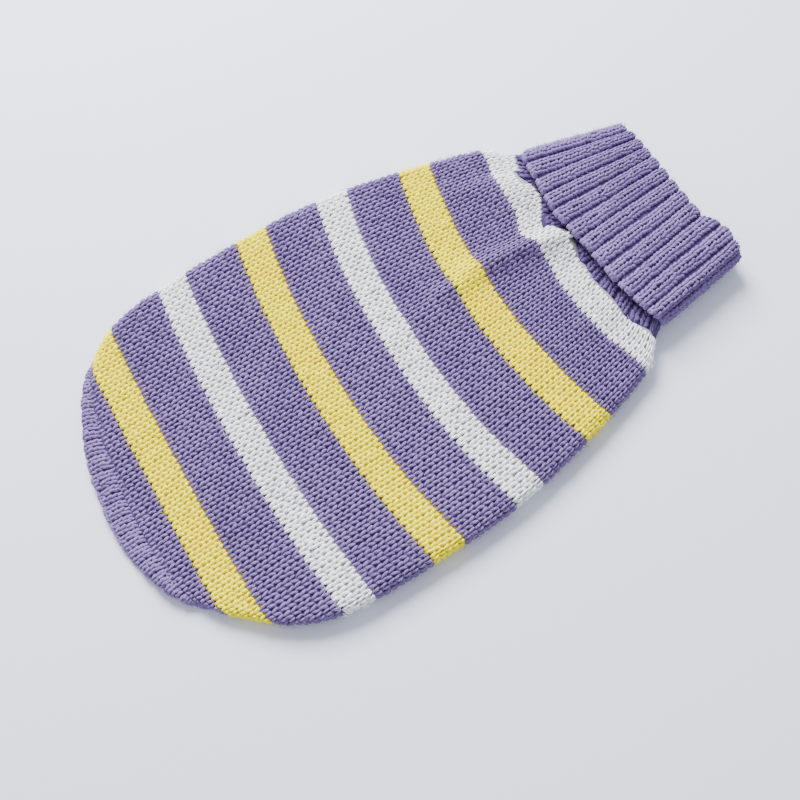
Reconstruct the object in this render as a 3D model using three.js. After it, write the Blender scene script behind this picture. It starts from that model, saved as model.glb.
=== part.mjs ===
// Small dog's turtleneck sweater, laid flat with its back up. Millimetres, +Z up.
// +X runs from the tail to the collar, and the table is at Z = 0.
import * as THREE from 'three';

// Driving dimensions
const wall = 2.8; // thickness of the knit
const seamGap = 0.3; // between pieces at a seam
const neckGap = 0.6; // from the neck seam to the collar, wider because the seam steps
const neckX = 89.8; // neck seam on the underside and at the sides
const neckHalf = 53; // half width of the top at the neck seam, without its round sides
const bellyHemX = -66; // hem of the belly panel
const hemCorner = 12; // radius where the belly hem meets the side seam
const tailX = -147.6; // hem seam at the tail
const hemRoundness = 2.1; // exponent of the tail's hem curve
const hemSkew = 0.06; // the tail's hem seam runs back a little on the near side
const flapWidth = 17; // back panel that lies flat under each side
const bandWidth = 9.7; // hem band
const hemRibPitch = 9.2;
const ribHeight = 0.9;
const neckHeight = 5.5; // middle of the flattened neck above the table
const legHoleX = 42; // centre of each leg hole
const legHoleHalfLength = 26;
const legHoleHalfWidth = 12.5;
const legBandWidth = 4.8;
const legSeamGap = 0.6; // the holes are many-sided, so the band keeps a little further off
const middleShift = 3.79; // moves the whole so that its middle is over the origin
const crownReach = 26; // how far in from a fold the top settles to its middle height

// The flat shape, a row for each section: half width, fold radius, height on the centre line
// and how far the fold lines lie over to the far side
const sections = [
  { x: -158.6, half: 0, fold: 1.75, rise: 3.5, sway: -1 },
  { x: -156.6, half: 17, fold: 1.9, rise: 3.5, sway: -0.8 },
  { x: -151.5, half: 35.5, fold: 3.2, rise: 3.8, sway: 0.8 },
  { x: -143, half: 51.5, fold: 3.5, rise: 4.4, sway: 3.2 },
  { x: -131, half: 67, fold: 4.1, rise: 5.4, sway: 4.2 },
  { x: -113, half: 80.5, fold: 4.7, rise: 6.7, sway: 2 },
  { x: -90, half: 87.2, fold: 5, rise: 7.2, sway: 0 },
  { x: -50, half: 89.2, fold: 5, rise: 7.5, sway: 0 },
  { x: -10, half: 88.3, fold: 5, rise: 7.7, sway: 0 },
  { x: 25, half: 83, fold: 5, rise: 8.2, sway: 0 },
  { x: 58, half: 74.8, fold: 5.2, rise: 9.6, sway: 0 },
  { x: 80, half: 67.6, fold: 5.4, rise: 10.6, sway: 0 },
  { x: 90, half: 59, fold: 5.5, rise: 11, sway: 0 },
  { x: 102, half: 55, fold: 5.5, rise: 11, sway: 0 },
];

// The soft ridges (and one trough) on the top, each along a path of points
const ridges = [
  {
    name: 'long ridge from the neck',
    width: 7,
    path: [
      { x: 92, y: 5, height: 3.4 },
      { x: 71, y: 10, height: 3.8 },
      { x: 48, y: 15, height: 3.2 },
      { x: 20, y: 12, height: 2.4 },
      { x: -8, y: 7, height: 1.5 },
      { x: -34, y: 2, height: 0.2 },
    ],
  },
  {
    name: 'far ridge',
    width: 7,
    path: [
      { x: 92, y: 30, height: 2.6 },
      { x: 79, y: 40, height: 2.8 },
      { x: 64, y: 50, height: 1.8 },
      { x: 46, y: 63, height: 0.3 },
    ],
  },
  {
    name: 'trough between them',
    width: 8,
    path: [
      { x: 92, y: 19, height: -2.2 },
      { x: 72, y: 26, height: -2.4 },
      { x: 44, y: 33, height: -1.2 },
      { x: 16, y: 36, height: -0.2 },
    ],
  },
  {
    name: 'near swell',
    width: 12,
    path: [
      { x: 92, y: -30, height: 1.4 },
      { x: 60, y: -36, height: 1.2 },
      { x: 20, y: -40, height: 0.6 },
      { x: -20, y: -42, height: 0.1 },
    ],
  },
  {
    name: 'swell over the tail',
    width: 16,
    path: [
      { x: -70, y: 30, height: 0.2 },
      { x: -95, y: 12, height: 1.1 },
      { x: -118, y: -12, height: 1.2 },
      { x: -134, y: -30, height: 0.3 },
    ],
  },
];

// Where the neck seam and the collar's free edge lie across the top. The seam steps to and
// fro as the gathers meet the collar.
const neckSeam = [
  { y: -53, x: 89.8 },
  { y: -42, x: 85 },
  { y: -30, x: 85 },
  { y: -18, x: 84.2 },
  { y: -7, x: 85.4 },
  { y: 0, x: 87.6 },
  { y: 7, x: 87.6 },
  { y: 16, x: 82.8 },
  { y: 26, x: 86.4 },
  { y: 34, x: 88.6 },
  { y: 42, x: 85.6 },
  { y: 53, x: 89.8 },
];

const collarEdge = [
  { y: -57, x: 97 },
  { y: -41, x: 93 },
  { y: -26, x: 90.6 },
  { y: -8, x: 90.2 },
  { y: 6, x: 89 },
  { y: 17, x: 88 },
  { y: 30, x: 89.8 },
  { y: 52, x: 93 },
];

// Collar: a double tube, its layers named by height above or below its middle plane
const collar = {
  ribs: 10, // across the straight top, with three more round each end
  middle: 8.3, // height of the middle plane
  straight: 45.8, // half length of the straight part of the mouth at the free edge
  foldStraight: 36.6, // the same at the turned fold
  hollow: 2.35, // inside of the stand
  standOut: 5.15,
  turnIn: 5.45, // inside of the turned-down layer
  turnOut: 8.3,
  foldX: 140.4, // where the turn begins
  freeBelowX: 99.5, // free edge on the underside
  nearLead: 6, // how far forward the near end of the fold lies
  leadFrom: 18.2, // from this far out on the near side
  leadReach: 16,
  drift: -2.5, // how far the fold lies over to the near side
  lean: 5, // sideways lean of the middle ribs towards the fold
};

// Smooth step and interpolation helpers
const clamp = (value, low, high) => Math.min(high, Math.max(low, value));

function smooth(value) {
  const t = clamp(value, 0, 1);
  return t * t * (3 - 2 * t);
}

function rowAt(rows, key, value) {
  let index = 0;
  while (index < rows.length - 2 && rows[index + 1][key] < value) index += 1;
  const from = rows[index];
  const to = rows[index + 1];
  return { from, to, part: clamp((value - from[key]) / (to[key] - from[key]), 0, 1) };
}

function along(rows, key, value, column) {
  const { from, to, part } = rowAt(rows, key, value);
  return from[column] + (to[column] - from[column]) * part;
}

function eased(rows, key, value, column) {
  const { from, to, part } = rowAt(rows, key, value);
  return from[column] + (to[column] - from[column]) * smooth(part);
}

// Fold line of one side, as a curve through the sections, with its fold radius
const stepsPerSection = 12;

function throughPoints(before, from, to, after, t) {
  const a = 2 * from;
  const b = to - before;
  const c = 2 * before - 5 * from + 4 * to - after;
  const d = 3 * from - before - 3 * to + after;
  return 0.5 * (a + b * t + c * t * t + d * t * t * t);
}

function makeFoldLine() {
  const mirrored = { ...sections[1], half: -sections[1].half };
  const last = sections[sections.length - 1];
  const rows = [mirrored, ...sections, { ...last, x: last.x + 12, half: last.half - 4 }];
  const line = [];
  for (let i = 1; i < rows.length - 2; i += 1) {
    for (let k = 0; k < stepsPerSection; k += 1) {
      const t = k / stepsPerSection;
      const column = (name) => throughPoints(
        rows[i - 1][name], rows[i][name], rows[i + 1][name], rows[i + 2][name], t);
      line.push({
        x: column('x'),
        y: column('half'),
        fold: rows[i].fold + (rows[i + 1].fold - rows[i].fold) * t,
      });
    }
  }
  return line;
}

const foldLine = makeFoldLine();

// Ahead of the tail the cloth folds square to the middle line, and round the tail it folds
// square to the fold line. The two ways melt together between these sections.
const tailFoldX = -100;
const sideFoldX = -62;

// Where a place folds: the point on the fold line, outward normal, fold radius and signed
// distance outside it
function foldAt(x, y) {
  const near = nearestFold(x, y);
  const squared = smooth((x - tailFoldX) / (sideFoldX - tailFoldX));
  if (squared === 0) return near;
  const px = near.px + (x - near.px) * squared;
  const row = rowAt(foldLine, 'x', px);
  const py = row.from.y + (row.to.y - row.from.y) * row.part;
  const fold = row.from.fold + (row.to.fold - row.from.fold) * row.part;
  const leanX = near.nx * (1 - squared);
  const leanY = near.ny + (1 - near.ny) * squared;
  const length = Math.hypot(leanX, leanY);
  const outside = ((x - px) * leanX + (y - py) * leanY) / length;
  return { px, py, nx: leanX / length, ny: leanY / length, fold, outside };
}

// Nearest place on the fold line
function nearestFold(x, y) {
  let best = null;
  for (let i = 0; i < foldLine.length - 1; i += 1) {
    const a = foldLine[i];
    const b = foldLine[i + 1];
    const dx = b.x - a.x;
    const dy = b.y - a.y;
    const t = clamp(((x - a.x) * dx + (y - a.y) * dy) / (dx * dx + dy * dy), 0, 1);
    const px = a.x + dx * t;
    const py = a.y + dy * t;
    const reach = Math.hypot(x - px, y - py);
    if (best === null || reach < best.reach) {
      best = { reach, px, py, dx, dy, fold: a.fold + (b.fold - a.fold) * t };
    }
  }
  const length = Math.hypot(best.dx, best.dy);
  const nx = -best.dy / length;
  const ny = best.dx / length;
  const outside = (x - best.px) * nx + (y - best.py) * ny;
  return { px: best.px, py: best.py, nx, ny, fold: best.fold, outside };
}

// Height that the ridges add at a place on the top
function ridgeHeight(x, y) {
  let total = 0;
  for (const ridge of ridges) {
    let nearest = Infinity;
    let height = 0;
    for (let i = 0; i < ridge.path.length - 1; i += 1) {
      const a = ridge.path[i];
      const b = ridge.path[i + 1];
      const dx = b.x - a.x;
      const dy = b.y - a.y;
      const t = clamp(((x - a.x) * dx + (y - a.y) * dy) / (dx * dx + dy * dy), 0, 1);
      const reach = Math.hypot(x - a.x - dx * t, y - a.y - dy * t);
      if (reach < nearest) {
        nearest = reach;
        height = a.height + (b.height - a.height) * t;
      }
    }
    total += height * Math.exp(-((nearest / ridge.width) ** 2));
  }
  return total;
}

// Height of the top of the cloth, inside the start of the side folds
const ridgeFade = 12;
const neckFade = 14;

function topHeight(x, y, inside, fold) {
  const middle = eased(sections, 'x', x, 'rise');
  const crown = middle + (2 * fold - middle) * Math.exp(-((inside / crownReach) ** 2));
  const fade = 1 - Math.exp(-((inside / ridgeFade) ** 2));
  const calm = 0.25 + 0.75 * smooth((neckX + 4 - x) / neckFade);
  return crown + ridgeHeight(x, y) * fade * calm;
}

// Carries a place in the spread-out cloth to the folded sweater. Depth is measured in from
// the outer face. Cloth past a fold line goes round the fold and lies flat underneath.
function drape(x, y, depth) {
  const sway = along(sections, 'x', x, 'sway');
  const side = y < sway ? -1 : 1;
  const near = foldAt(x, Math.abs(y - sway));
  const past = near.outside + near.fold;
  if (past <= 0) {
    return [x, y, topHeight(x, y, -past, near.fold) - depth];
  }
  const half = Math.PI * near.fold;
  const radius = near.fold - depth;
  if (past < half) {
    const turn = past / near.fold;
    const out = radius * Math.sin(turn) - near.fold;
    const lift = topHeight(x, y, 0, near.fold) - 2 * near.fold;
    const z = near.fold + radius * Math.cos(turn) + lift * (1 + Math.cos(turn)) / 2;
    return [near.px + near.nx * out, sway + side * (near.py + near.ny * out), Math.max(0, z)];
  }
  const back = -near.fold - (past - half);
  return [near.px + near.nx * back, sway + side * (near.py + near.ny * back), Math.max(0, depth)];
}

// Splits a four-sided face in two, the other way on the near side, so both sides mirror
function addFace(positions, index, a, b, c, d) {
  const y = positions[a * 3 + 1] + positions[b * 3 + 1] + positions[c * 3 + 1] + positions[d * 3 + 1];
  if (y < 0) {
    index.push(a, b, d, b, c, d);
  } else {
    index.push(a, b, c, a, c, d);
  }
}

// A wall between an outer and an inner grid of points, closed at its four edges or,
// for a ring, at two edges and round upon itself
function wallGeometry(outer, inner, ring) {
  const rows = outer.length;
  const columns = outer[0].length;
  const positions = [];
  for (const grid of [outer, inner]) {
    for (const row of grid) {
      for (const point of row) positions.push(...point);
    }
  }
  const index = [];
  const at = (layer, i, j) => layer * rows * columns + (i % rows) * columns + j;
  const quad = (a, b, c, d) => addFace(positions, index, a, b, c, d);
  const lastRow = ring ? rows : rows - 1;
  for (let i = 0; i < lastRow; i += 1) {
    for (let j = 0; j < columns - 1; j += 1) {
      quad(at(0, i, j), at(0, i + 1, j), at(0, i + 1, j + 1), at(0, i, j + 1));
      quad(at(1, i, j), at(1, i, j + 1), at(1, i + 1, j + 1), at(1, i + 1, j));
    }
    quad(at(0, i, 0), at(1, i, 0), at(1, i + 1, 0), at(0, i + 1, 0));
    const j = columns - 1;
    quad(at(0, i, j), at(0, i + 1, j), at(1, i + 1, j), at(1, i, j));
  }
  if (!ring) {
    const i = rows - 1;
    for (let j = 0; j < columns - 1; j += 1) {
      quad(at(0, 0, j), at(0, 0, j + 1), at(1, 0, j + 1), at(1, 0, j));
      quad(at(0, i, j), at(1, i, j), at(1, i, j + 1), at(0, i, j + 1));
    }
  }
  return finish(positions, index);
}

// A ring whose section is a closed loop of points, given station by station
function loopGeometry(stations) {
  const count = stations.length;
  const size = stations[0].length;
  const positions = stations.flat(2);
  const index = [];
  for (let i = 0; i < count; i += 1) {
    for (let j = 0; j < size; j += 1) {
      const a = i * size + j;
      const b = ((i + 1) % count) * size + j;
      const c = ((i + 1) % count) * size + (j + 1) % size;
      const d = i * size + (j + 1) % size;
      addFace(positions, index, a, b, c, d);
    }
  }
  return finish(positions, index);
}

// Makes the geometry, and turns its faces outwards if the sum of its volume is negative
function finish(positions, index) {
  let volume = 0;
  const corner = (i) => new THREE.Vector3().fromArray(positions, index[i] * 3);
  for (let i = 0; i < index.length; i += 3) {
    volume += corner(i).dot(corner(i + 1).cross(corner(i + 2)));
  }
  if (volume < 0) {
    for (let i = 0; i < index.length; i += 3) {
      [index[i + 1], index[i + 2]] = [index[i + 2], index[i + 1]];
    }
  }
  const geometry = new THREE.BufferGeometry();
  geometry.setAttribute('position', new THREE.Float32BufferAttribute(positions, 3));
  geometry.setIndex(index);
  geometry.computeVertexNormals();
  return geometry;
}

const sweater = new THREE.Group();

function addPiece(name, geometry, colour, roughness) {
  const material = new THREE.MeshStandardMaterial({ color: colour, roughness, metalness: 0 });
  const mesh = new THREE.Mesh(geometry, material);
  mesh.name = name;
  sweater.add(mesh);
}

const lilac = 0xa898c8;
const lilacShade = 0x9a8abd;

function neckSeamX(y) {
  return along(neckSeam, 'y', y, 'x');
}

// Spread-out half width of the back panel, to its side seam underneath
function clothHalf(x) {
  const fold = along(foldLine, 'x', x, 'fold');
  return foldHalf(x) - fold + Math.PI * fold + flapWidth;
}

function foldHalf(x) {
  return along(foldLine, 'x', x, 'y');
}

// Side seam on the underside, as a half width there, and the leg hole that cuts across it
function seamHalf(x) {
  return foldHalf(x) - along(foldLine, 'x', x, 'fold') - flapWidth;
}

function legHoleAt(x, halfLength, halfWidth) {
  const across = (x - legHoleX) / halfLength;
  return Math.abs(across) < 1 ? halfWidth * (1 - across ** 2) : 0;
}

// Tail of the back panel: the hem seam in the spread-out cloth
const sideSeamEndX = bellyHemX - hemCorner;
const tailHalf = clothHalf(sideSeamEndX);
const tailLength = sideSeamEndX - tailX;
const hemSpread = 1.012; // the curve is a little wider than the cloth, so it ends on an edge

function hemX(y) {
  const across = clamp(Math.abs(y) / (tailHalf * hemSpread), 0, 1);
  const curve = tailLength * (1 - across ** hemRoundness) ** (1 / hemRoundness);
  return sideSeamEndX - curve + hemSkew * y * (1 - across ** 2);
}

// Back panel: columns are lines of stitches from the neck to the hem, rows are courses
const backColumns = 50;
const bodyRows = 20;
const tailRows = 9;
const holeEdgeFrom = 0.8; // columns outside this part of the width give way to the leg holes

function columnSpread(column) {
  const across = (2 * column) / backColumns - 1;
  return Math.sin(across * Math.PI / 2) * 0.3 + across * 0.7;
}

function backPoint(column, row, depth) {
  const spread = columnSpread(column);
  const reach = Math.abs(spread);
  const side = spread < 0 ? -1 : 1;
  const startX = neckSeamX(spread * clothHalf(neckX)) - seamGap;
  let x;
  let y;
  if (row <= bodyRows) {
    x = startX + (sideSeamEndX - startX) * (row / bodyRows);
    const full = clothHalf(x);
    const edge = 1 - legHoleAt(x, legHoleHalfLength, legHoleHalfWidth) / full;
    const squeeze = reach < holeEdgeFrom ? reach
      : holeEdgeFrom + (reach - holeEdgeFrom) * (edge - holeEdgeFrom) / (1 - holeEdgeFrom);
    y = side * squeeze * full;
  } else {
    y = side * reach * tailHalf;
    x = sideSeamEndX + (hemX(y) + seamGap - sideSeamEndX) * ((row - bodyRows) / tailRows);
  }
  return drape(x, y, depth);
}

function backGrid(depth) {
  const grid = [];
  for (let row = 0; row <= bodyRows + tailRows; row += 1) {
    const line = [];
    for (let column = 0; column <= backColumns; column += 1) {
      line.push(backPoint(column, row, depth));
    }
    grid.push(line);
  }
  return grid;
}

addPiece('back_panel', wallGeometry(backGrid(0), backGrid(wall), false), lilac, 0.95);

// Belly panel: flat on the table between the side seams
const bellyColumns = 20;
const bellyRows = 20;

function bellyHem(y) {
  const past = Math.abs(y) - (seamHalf(sideSeamEndX) - hemCorner);
  if (past <= 0) return bellyHemX;
  const drop = hemCorner - Math.sqrt(Math.max(0, hemCorner ** 2 - past ** 2));
  return bellyHemX - drop;
}

function bellyPoint(column, row, z) {
  const across = Math.sin(Math.PI * (column / bellyColumns - 0.5));
  const rough = across * (seamHalf(sideSeamEndX) - seamGap);
  const startX = neckX - seamGap;
  const x = startX + (bellyHem(rough) + seamGap - startX) * (row / bellyRows);
  const hole = legHoleAt(x, legHoleHalfLength, legHoleHalfWidth);
  const y = across * (seamHalf(x) - seamGap - hole);
  return [x, y, z];
}

function bellyGrid(z) {
  const grid = [];
  for (let row = 0; row <= bellyRows; row += 1) {
    const line = [];
    for (let column = 0; column <= bellyColumns; column += 1) {
      line.push(bellyPoint(column, row, z));
    }
    grid.push(line);
  }
  return grid;
}

addPiece('belly_panel', wallGeometry(bellyGrid(wall), bellyGrid(0), false), lilac, 0.95);

// Leg bands: flat ribbed rings inside the leg holes
const legStations = 28;
const legBandLift = 0.4; // the band stands a little above the panels on its inner side

function legBandStations(side) {
  const stations = [];
  for (let i = 0; i < legStations; i += 1) {
    const angle = (2 * Math.PI * i) / legStations;
    const station = [];
    const rings = [
      { inset: legSeamGap, z: 0 },
      { inset: legBandWidth, z: 0 },
      { inset: legBandWidth, z: wall + legBandLift },
      { inset: legSeamGap, z: wall + legBandLift },
    ];
    for (const ring of rings) {
      const length = legHoleHalfLength - ring.inset * 2;
      const width = legHoleHalfWidth - ring.inset;
      const x = legHoleX + length * Math.cos(angle);
      const lens = width * (1 - Math.cos(angle) ** 2) * Math.sign(Math.sin(angle));
      station.push([x, side * (seamHalf(x) + lens), ring.z]);
    }
    stations.push(station);
  }
  return stations;
}

addPiece('leg_band_left', loopGeometry(legBandStations(1)), lilacShade, 0.95);
addPiece('leg_band_right', loopGeometry(legBandStations(-1)), lilacShade, 0.95);

// Hem band: a ribbed strip whose path runs round the tail and back across the belly
const ribSamples = 4;
const ribbedReach = 51; // spread-out half width over which the ribs show

function tailPath() {
  const fine = [];
  const steps = 400;
  for (let i = 0; i <= steps; i += 1) {
    const angle = Math.PI * (i / steps) - Math.PI / 2;
    const power = 2 / hemRoundness;
    const reach = tailHalf * hemSpread * Math.abs(Math.sin(angle)) ** power;
    const y = reach * Math.sign(Math.sin(angle));
    fine.push({ x: hemX(y), y });
  }
  return fine;
}

function walkTail() {
  const fine = tailPath();
  const lengths = [0];
  for (let i = 1; i < fine.length; i += 1) {
    lengths.push(lengths[i - 1] + Math.hypot(fine[i].x - fine[i - 1].x, fine[i].y - fine[i - 1].y));
  }
  const total = lengths[lengths.length - 1];
  const place = (length) => {
    let i = 1;
    while (i < lengths.length - 1 && lengths[i] < length) i += 1;
    const part = (length - lengths[i - 1]) / (lengths[i] - lengths[i - 1]);
    const a = fine[i - 1];
    const b = fine[i];
    const run = Math.hypot(b.x - a.x, b.y - a.y);
    return {
      x: a.x + (b.x - a.x) * part,
      y: a.y + (b.y - a.y) * part,
      nx: -(b.y - a.y) / run,
      ny: (b.x - a.x) / run,
    };
  };
  const lengthAt = (y) => {
    let i = 1;
    while (i < fine.length - 1 && fine[i].y < y) i += 1;
    const part = (y - fine[i - 1].y) / (fine[i].y - fine[i - 1].y);
    return lengths[i - 1] + (lengths[i] - lengths[i - 1]) * clamp(part, 0, 1);
  };
  const ribbedFrom = lengthAt(-ribbedReach);
  const ribbedTo = lengthAt(ribbedReach);
  const ribSteps = ribSamples * Math.round((ribbedTo - ribbedFrom) / hemRibPitch);
  const plain = [];
  for (let column = 0; column <= backColumns; column += 1) {
    const y = columnSpread(column) * tailHalf;
    if (Math.abs(y) > ribbedReach + 1) plain.push(lengthAt(y));
  }
  const stops = [{ length: 0, rib: 0 }];
  for (const length of plain.filter((item) => item < ribbedFrom)) stops.push({ length, rib: 0 });
  for (let i = 0; i <= ribSteps; i += 1) {
    const crest = 0.5 - 0.5 * Math.cos((2 * Math.PI * i) / ribSamples);
    stops.push({ length: ribbedFrom + (ribbedTo - ribbedFrom) * (i / ribSteps), rib: crest });
  }
  for (const length of plain.filter((item) => item > ribbedTo)) stops.push({ length, rib: 0 });
  stops.push({ length: total, rib: 0 });
  return stops.map((stop) => ({ ...place(stop.length), rib: stop.rib }));
}

// One station of the band: a loop of points round its section
function tailStation(stop) {
  const spot = (out, depth) => drape(stop.x + stop.nx * out, stop.y + stop.ny * out, depth);
  const edge = bandWidth + stop.rib * ribHeight;
  const raised = -stop.rib * ribHeight;
  return [
    spot(seamGap / 2, 0),
    spot(bandWidth * 0.3, raised),
    spot(bandWidth * 0.8, raised),
    spot(edge, wall * 0.3),
    spot(edge, wall * 0.75),
    spot(bandWidth * 0.8, wall),
    spot(bandWidth * 0.3, wall),
    spot(seamGap / 2, wall),
  ];
}

function flatStation(x, y, nx, ny) {
  const spot = (out, z) => [x + nx * out, y + ny * out, z];
  return [
    spot(0, 0),
    spot(bandWidth * 0.3, 0),
    spot(bandWidth * 0.8, 0),
    spot(bandWidth, wall * 0.3),
    spot(bandWidth, wall * 0.75),
    spot(bandWidth * 0.8, wall),
    spot(bandWidth * 0.3, wall),
    spot(0, wall),
  ];
}

const cornerSteps = 4;
const bellyHemSteps = 12;

function hemStations() {
  const stations = walkTail().map(tailStation);
  const half = seamHalf(sideSeamEndX);
  const inner = half - hemCorner;
  for (let i = 1; i <= cornerSteps; i += 1) {
    const angle = (Math.PI / 2) * (i / (cornerSteps + 1));
    const x = bellyHemX - hemCorner + hemCorner * Math.sin(angle);
    const y = inner + hemCorner * Math.cos(angle);
    stations.push(flatStation(x, y, -Math.sin(angle), -Math.cos(angle)));
  }
  for (let i = 0; i <= bellyHemSteps; i += 1) {
    const y = inner * (1 - (2 * i) / bellyHemSteps);
    stations.push(flatStation(bellyHemX, y, -1, 0));
  }
  for (let i = cornerSteps; i >= 1; i -= 1) {
    const angle = (Math.PI / 2) * (i / (cornerSteps + 1));
    const x = bellyHemX - hemCorner + hemCorner * Math.sin(angle);
    const y = -(inner + hemCorner * Math.cos(angle));
    stations.push(flatStation(x, y, -Math.sin(angle), Math.cos(angle)));
  }
  return stations;
}

addPiece('hem_band', loopGeometry(hemStations()), lilacShade, 0.95);

// Collar: a ribbed tube that runs out from the neck seam, turns over at the fold and comes
// back over itself. Its section is a hairpin, carried round the flattened mouth.
const collarEndSteps = 7;
const collarBelowSteps = 18;

// Round the mouth: part across the top, the end and the underside, with the rib's crest
function collarStops() {
  const stops = [];
  const topSteps = collar.ribs * ribSamples;
  for (let i = 0; i <= topSteps; i += 1) {
    const crest = 0.5 - 0.5 * Math.cos((2 * Math.PI * i) / ribSamples);
    stops.push({ across: 1 - (2 * i) / topSteps, turn: 0, crest });
  }
  for (let i = 1; i < collarEndSteps; i += 1) {
    stops.push({ across: -1, turn: i / collarEndSteps, crest: i % 2 ? 0.7 : 0 });
  }
  for (let i = 0; i <= collarBelowSteps; i += 1) {
    stops.push({ across: -1 + (2 * i) / collarBelowSteps, turn: 1, crest: 0 });
  }
  for (let i = collarEndSteps - 1; i > 0; i -= 1) {
    stops.push({ across: 1, turn: i / collarEndSteps, crest: i % 2 ? 0.7 : 0 });
  }
  return stops;
}

// How far the mouth runs sideways at a part of the way to the fold
function collarStraight(part) {
  return collar.straight + (collar.foldStraight - collar.straight) * part;
}

function collarPoint(stop, x, height, part, middle, straight) {
  const lean = collar.lean * part * (1 - stop.across ** 2);
  const y = stop.across * straight + lean + collar.drift * part;
  const angle = Math.PI * stop.turn;
  const side = Math.sign(stop.across);
  const lead = collar.nearLead * smooth((-y - collar.leadFrom) / collar.leadReach) * part;
  return [
    x + lead,
    y + side * height * Math.sin(angle),
    middle + height * Math.cos(angle),
  ];
}

function collarStation(stop) {
  const below = smooth(stop.turn * 1.6);
  const edgeX = along(collarEdge, 'y', stop.across * collar.straight, 'x');
  const freeX = edgeX + (collar.freeBelowX - edgeX) * below;
  const seamX = (stop.turn === 0 ? neckSeamX(stop.across * neckHalf) : neckX) + neckGap;
  const rib = stop.crest * ribHeight;
  const loop = [];
  const partAt = (x) => clamp((x - freeX) / (collar.foldX - freeX), 0, 1);
  const layer = (x, height) => {
    loop.push(collarPoint(stop, x, height, partAt(x), collar.middle, collarStraight(partAt(x))));
  };
  const seam = (height, middle, x, straight) => {
    const point = collarPoint(stop, x, height, 0, middle, straight);
    point[0] = x;
    loop.push(point);
  };
  seam(neckHeight - wall, neckHeight, seamX, neckHalf);
  layer(freeX + 2, collar.hollow);
  layer(112, collar.hollow);
  layer(127, collar.hollow);
  layer(collar.foldX, collar.hollow);
  const turnMiddle = (collar.hollow + collar.turnOut) / 2;
  const turnRadius = (collar.turnOut - collar.hollow) / 2;
  for (const angle of [30, 65, 100, 135]) {
    const radians = (angle * Math.PI) / 180;
    const x = collar.foldX + (turnRadius + rib * 0.6) * Math.sin(radians);
    layer(x, turnMiddle - (turnRadius + rib * 0.5) * Math.cos(radians));
  }
  const outward = stop.turn === 1 ? 0 : rib;
  for (const part of [1, 0.75, 0.5, 0.25, 0.06]) {
    layer(freeX + (collar.foldX - freeX) * part, collar.turnOut + outward);
  }
  layer(freeX - rib * 0.6, collar.turnOut - 0.7 + outward * 0.5);
  layer(freeX - rib * 0.6, collar.turnIn + 0.5);
  layer(freeX + 2.5, collar.turnIn);
  layer(collar.foldX - 1, collar.turnIn);
  layer(collar.foldX - 1, collar.standOut);
  layer(freeX + 3.5, collar.standOut);
  seam(neckHeight + outward, neckHeight, seamX, neckHalf);
  return loop;
}

addPiece('collar', loopGeometry(collarStops().map(collarStation)), lilacShade, 0.95);

// The origin is under the middle of its length
sweater.position.x = middleShift;

export default sweater;
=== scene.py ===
import math

import bpy
import numpy as np
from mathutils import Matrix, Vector


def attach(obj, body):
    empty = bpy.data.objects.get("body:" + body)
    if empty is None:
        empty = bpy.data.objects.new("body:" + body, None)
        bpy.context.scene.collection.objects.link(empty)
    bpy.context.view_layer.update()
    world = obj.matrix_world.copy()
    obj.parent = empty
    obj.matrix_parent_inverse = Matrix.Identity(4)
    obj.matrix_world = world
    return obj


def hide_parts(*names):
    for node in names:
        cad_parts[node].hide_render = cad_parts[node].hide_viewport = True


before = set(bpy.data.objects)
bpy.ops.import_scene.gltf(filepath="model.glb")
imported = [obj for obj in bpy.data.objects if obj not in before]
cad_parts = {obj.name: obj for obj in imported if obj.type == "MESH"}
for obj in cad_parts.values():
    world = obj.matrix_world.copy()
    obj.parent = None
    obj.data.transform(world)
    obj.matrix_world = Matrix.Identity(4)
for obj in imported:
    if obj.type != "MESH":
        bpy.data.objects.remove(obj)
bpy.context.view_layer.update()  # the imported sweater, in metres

mm = 0.001
rng = np.random.default_rng(31)

# The whole lies 3.79 mm further forward than the tables below, so that its middle is at the origin
middleShift = 3.79

# Camera

view = {
    "place": (-0.11048, -0.16045, 0.46985),
    "aim": (-0.01734, -0.01703, 0.0),
    "lens": 50,
    "sensor": 36,
}


def makeCamera():
    data = bpy.data.cameras.new("photo_view")
    data.lens = view["lens"]
    data.sensor_width = view["sensor"]
    camera = bpy.data.objects.new("photo_view", data)
    camera.location = view["place"]
    look = Vector(view["aim"]) - Vector(view["place"])
    camera.rotation_euler = look.to_track_quat("-Z", "Y").to_euler()
    bpy.context.scene.collection.objects.link(camera)
    bpy.context.scene.camera = camera


makeCamera()
print("camera placed")

# The flat form. Everything down to the stitches works in millimetres.

wall = 2.8  # thickness of the knit
neckX = 89.8  # neck seam at the sides and underneath
tailX = -147.6  # hem seam at the tail
sideSeamEndX = -78.0
bellyHemX = -66.0
hemCorner = 12.0
hemRoundness = 2.1
hemSkew = 0.06
hemSpread = 1.012
flapWidth = 17.0  # back panel that lies under each side
crownReach = 26.0

# A column of values for each section: half width, fold radius, middle height, lean to the far side
sections = {
    "x": (-158.6, -156.6, -151.5, -143, -131, -113, -90, -50, -10, 25, 58, 80, 90, 102),
    "half": (0, 17, 35.5, 51.5, 67, 80.5, 87.2, 89.2, 88.3, 83, 74.8, 67.6, 59, 55),
    "fold": (1.75, 1.9, 3.2, 3.5, 4.1, 4.7, 5, 5, 5, 5, 5.2, 5.4, 5.5, 5.5),
    "rise": (3.5, 3.5, 3.8, 4.4, 5.4, 6.7, 7.2, 7.5, 7.7, 8.2, 9.6, 10.6, 11, 11),
    "sway": (-1, -0.8, 0.8, 3.2, 4.2, 2, 0, 0, 0, 0, 0, 0, 0, 0),
}

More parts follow.
